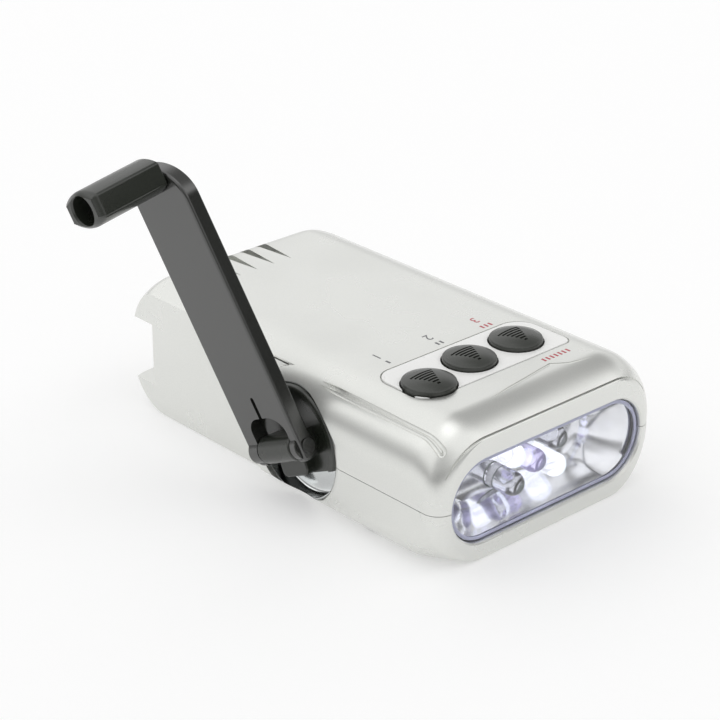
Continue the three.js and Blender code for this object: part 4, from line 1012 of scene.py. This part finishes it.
def makeKnob():
    near = -crank["armThickness"] / 2 - 0.3
    end = near - knob["length"]
    halfWidth, halfFlat = knob["width"] / 2, knob["flat"] / 2
    crown = knob["height"] / 2 - halfFlat
    ball = (halfWidth ** 2 + crown ** 2) / (2 * crown)
    widest = math.asin(halfWidth / ball)
    outline = []
    for side in (1, -1):
        for i in range(25):
            t = widest * (1 - 2 * i / 24)
            outline.append((side * ball * math.sin(t), side * (knob["height"] / 2 - ball + ball * math.cos(t))))
    softened = evenOut(outline, 0.45)
    rings = []
    for out, at in ((-1.0, end), (-0.75, end + 0.18), (-0.35, end + 0.6), (-0.1, end + 0.95), (0, end + 1.4),
                    (0, near - 0.3), (-0.12, near - 0.08), (-0.3, near)):
        rings.append([lay("X", u, v, at) for u, v in offset(softened, out)])
    sleeve = skin("crankKnob", rings)
    turn(sleeve, Matrix.Translation((0, 0, crank["armLength"])))
    centre = (0, 0, crank["armLength"])
    step = -crank["armThickness"] / 2 - crank["postLength"] - 0.3
    mouth = turned("mouth", [(knob["bore"], step + knob["play"]), (knob["bore"], end + 0.35), (knob["bore"] + 0.35, end),
                             (knob["bore"] + 0.35, end - 5)], "X", centre, 96)
    carve(sleeve, [bar("postBore", crank["post"] + 0.3, "X", end - 5, near + 5, centre, 0, 64), mouth])
    finishPiece(turn(sleeve, armFrame), "knob", knobPlastic, "dark_plastic", ["crank_knob"])
    screw = bar("knobScrew", knob["screwHead"], "X", step - knob["screwHeadThickness"], step, centre, 0.4, 64)
    shank = bar("shank", knob["screwRadius"], "X", step - 0.1, step + knob["screwLength"], centre, 0, 32)
    carve(screw, [shank], "UNION")
    cross = [block(step - 3, step - knob["screwHeadThickness"] + 0.8, -a, a, crank["armLength"] - b,
                   crank["armLength"] + b) for a, b in ((1.5, 0.3), (0.3, 1.5))]
    carve(screw, cross)
    finishPiece(turn(screw, armFrame), "arm", steel, "steel", ["knob_screw"])


def evenOut(outline, radius):  # rounds the sharp corners of an outline
    rounded = []
    count = len(outline)
    for i, point in enumerate(outline):
        before, here, after = Vector(outline[i - 1]), Vector(point), Vector(outline[(i + 1) % count])
        a, b = (before - here), (after - here)
        if a.angle(b) < math.radians(150):
            start, end = here + a.normalized() * radius, here + b.normalized() * radius
            for k in range(7):
                t = k / 6
                rounded.append(tuple(start * (1 - t) ** 2 + here * 2 * t * (1 - t) + end * t * t))
        else:
            rounded.append(tuple(here))
    return rounded


# Screws in the base

def makeScrews():
    head, seat, thickness = screws["head"], screws["seat"], screws["headThickness"]
    profile = [(0, seat - thickness), (head - 1.0, seat - thickness), (head - 0.35, seat - thickness + 0.3),
               (head, seat - thickness + 0.9), (head, seat), (screws["shank"], seat),
               (screws["shank"], seat + screws["length"] - 1.2), (0.3, seat + screws["length"]),
               (0, seat + screws["length"])]
    model = turned("screwModel", profile, "Z", (0, 0, 0), 48)
    carve(model, [block(-a, a, -b, b, -5, seat - thickness + 0.9) for a, b in ((1.5, 0.32), (0.32, 1.5))])
    mesh = bpy.data.meshes.new("screwPlaces")
    mesh.from_pydata([(x, case["front"] + s, 0) for x, s in screws["places"]], [], [])
    made = grow(addObject("caseScrews", mesh), copiesOnPoints, {"Shape": model, "Finish": steel})
    bpy.data.objects.remove(model)
    finishPiece(made, "case", steel, "steel", [f"case_screw_{i}" for i in range(1, 5)])


def dressCadNodes():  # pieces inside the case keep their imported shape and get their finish
    slots = {part["node"]: part["material_slot"] for part in frame["record"]["subparts"]}
    for name, node in cadNodes.items():
        node.data.materials.clear()
        node.data.materials.append(slotMaterials[slots[name]])
        for face in node.data.polygons:
            face.material_index = 0


# Stage: floor, studio light and camera

studio = {
    "sky": 1.08, "horizon": 0.25, "horizonHeight": 0.14, "horizonSpread": 0.32,
    "clearSide": (0.755, 0.655, 0), "clearFrom": 0.3, "clearTo": 0.8, "clearShare": 0.66,  # no dark horizon on the far side
    "floorWhite": 0.7, "floorGlow": 0.34,
    # towards, inner and outer cosine of its edge, and how bright it is against the sky
    "patches": [((0.60, 0.11, 0.79), 0.985, 0.80, 0.36), ((0.60, -0.46, 0.655), 0.994, 0.94, 1.35),
                ((-0.52, 0.65, 0.55), 0.996, 0.94, 1.25), ((-0.68, -0.58, 0.42), 0.978, 0.82, 0.5),
                ((0.62, -0.76, 0.17), 0.965, 0.87, 0.12),
                ((0.02, 0.02, 1.0), 0.985, 0.93, 1.5)],
}
view = {"place": (-0.29333, -0.31735, 0.22449), "tilt": 64.585, "pan": -42.35, "lens": 113.33}


def makeWorld():
    world = bpy.data.worlds.new("studio")
    scene.world = world
    world.use_nodes = True
    tree = world.node_tree
    tree.nodes.clear()
    place = addNode(tree, "ShaderNodeTexCoord")
    parts = addNode(tree, "ShaderNodeSeparateXYZ")
    height = addNode(tree, "ShaderNodeMath", operation="SUBTRACT")
    height.inputs[1].default_value = studio["horizonHeight"]
    away = addNode(tree, "ShaderNodeMath", operation="ABSOLUTE")
    band = addNode(tree, "ShaderNodeMapRange", interpolation_type="SMOOTHSTEP")
    band.inputs["From Max"].default_value = studio["horizonSpread"]
    band.inputs["To Max"].default_value = studio["sky"]
    links = [(place.outputs["Generated"], parts.inputs[0]), (parts.outputs["Z"], height.inputs[0]),
             (height.outputs[0], away.inputs[0]), (away.outputs[0], band.inputs["Value"])]
    side = addNode(tree, "ShaderNodeVectorMath", operation="DOT_PRODUCT")
    side.inputs[1].default_value = studio["clearSide"]
    darkest = addNode(tree, "ShaderNodeMapRange", interpolation_type="SMOOTHSTEP")
    for socket, value in (("From Min", studio["clearFrom"]), ("From Max", studio["clearTo"]),
                          ("To Min", studio["horizon"] * studio["sky"]),
                          ("To Max", studio["clearShare"] * studio["sky"])):
        darkest.inputs[socket].default_value = value
    links += [(place.outputs["Generated"], side.inputs[0]), (side.outputs["Value"], darkest.inputs["Value"]),
              (darkest.outputs[0], band.inputs["To Min"])]
    level = band.outputs[0]
    for towards, inner, outer, share in studio["patches"]:
        near = addNode(tree, "ShaderNodeVectorMath", operation="DOT_PRODUCT")
        near.inputs[1].default_value = Vector(towards).normalized()
        patch = addNode(tree, "ShaderNodeMapRange", interpolation_type="SMOOTHSTEP")
        for socket, value in (("From Min", outer), ("From Max", inner), ("To Min", 1), ("To Max", share)):
            patch.inputs[socket].default_value = value
        product = addNode(tree, "ShaderNodeMath", operation="MULTIPLY")
        links += [(place.outputs["Generated"], near.inputs[0]), (near.outputs["Value"], patch.inputs["Value"]),
                  (level, product.inputs[0]), (patch.outputs[0], product.inputs[1])]
        level = product.outputs[0]
    seen = addNode(tree, "ShaderNodeLightPath")
    choose = addNode(tree, "ShaderNodeMix", data_type="FLOAT")
    choose.inputs["B"].default_value = studio["sky"]
    light = addNode(tree, "ShaderNodeBackground")
    light.inputs["Color"].default_value = (1, 1, 1, 1)
    out = addNode(tree, "ShaderNodeOutputWorld")
    links += [(level, choose.inputs["A"]), (seen.outputs["Is Camera Ray"], choose.inputs["Factor"]),
              (choose.outputs["Result"], light.inputs["Strength"]), (light.outputs[0], out.inputs[0])]
    for source, target in links:
        tree.links.new(source, target)


def makeFloor():
    reach = 3.0
    mesh = bpy.data.meshes.new("floor")
    mesh.from_pydata([(-reach, -reach, 0), (reach, -reach, 0), (reach, reach, 0), (-reach, reach, 0)], [],
                     [(0, 1, 2, 3)])
    floor = addObject("floor", mesh)
    white = studio["floorWhite"]
    mesh.materials.append(surface("floor", (white, white, white), (white, white, white), 0.8, 0.9, 0.01, relief=0,
                                  **{"Emission Color": (1, 1, 1, 1), "Emission Strength": studio["floorGlow"]}))


def makeCamera():
    data = bpy.data.cameras.new("camera")
    data.lens = view["lens"]
    data.clip_start = 0.01
    camera = addObject("camera", data)
    camera.location = view["place"]
    camera.rotation_euler = (math.radians(view["tilt"]), 0, math.radians(view["pan"]))
    scene.camera = camera


makeCamera()
makeWorld()
makeFloor()
scene.view_settings.view_transform = "Standard"
dressCadNodes()
makeCase()
makeWindow()
makeReflector()
makeLamps()
print("lamp made")
makePlate()
makeButtons()
makeMarks()
makeDish()
makeHub()
makeArm()
makeKnob()
makeScrews()
print("crank and screws made")
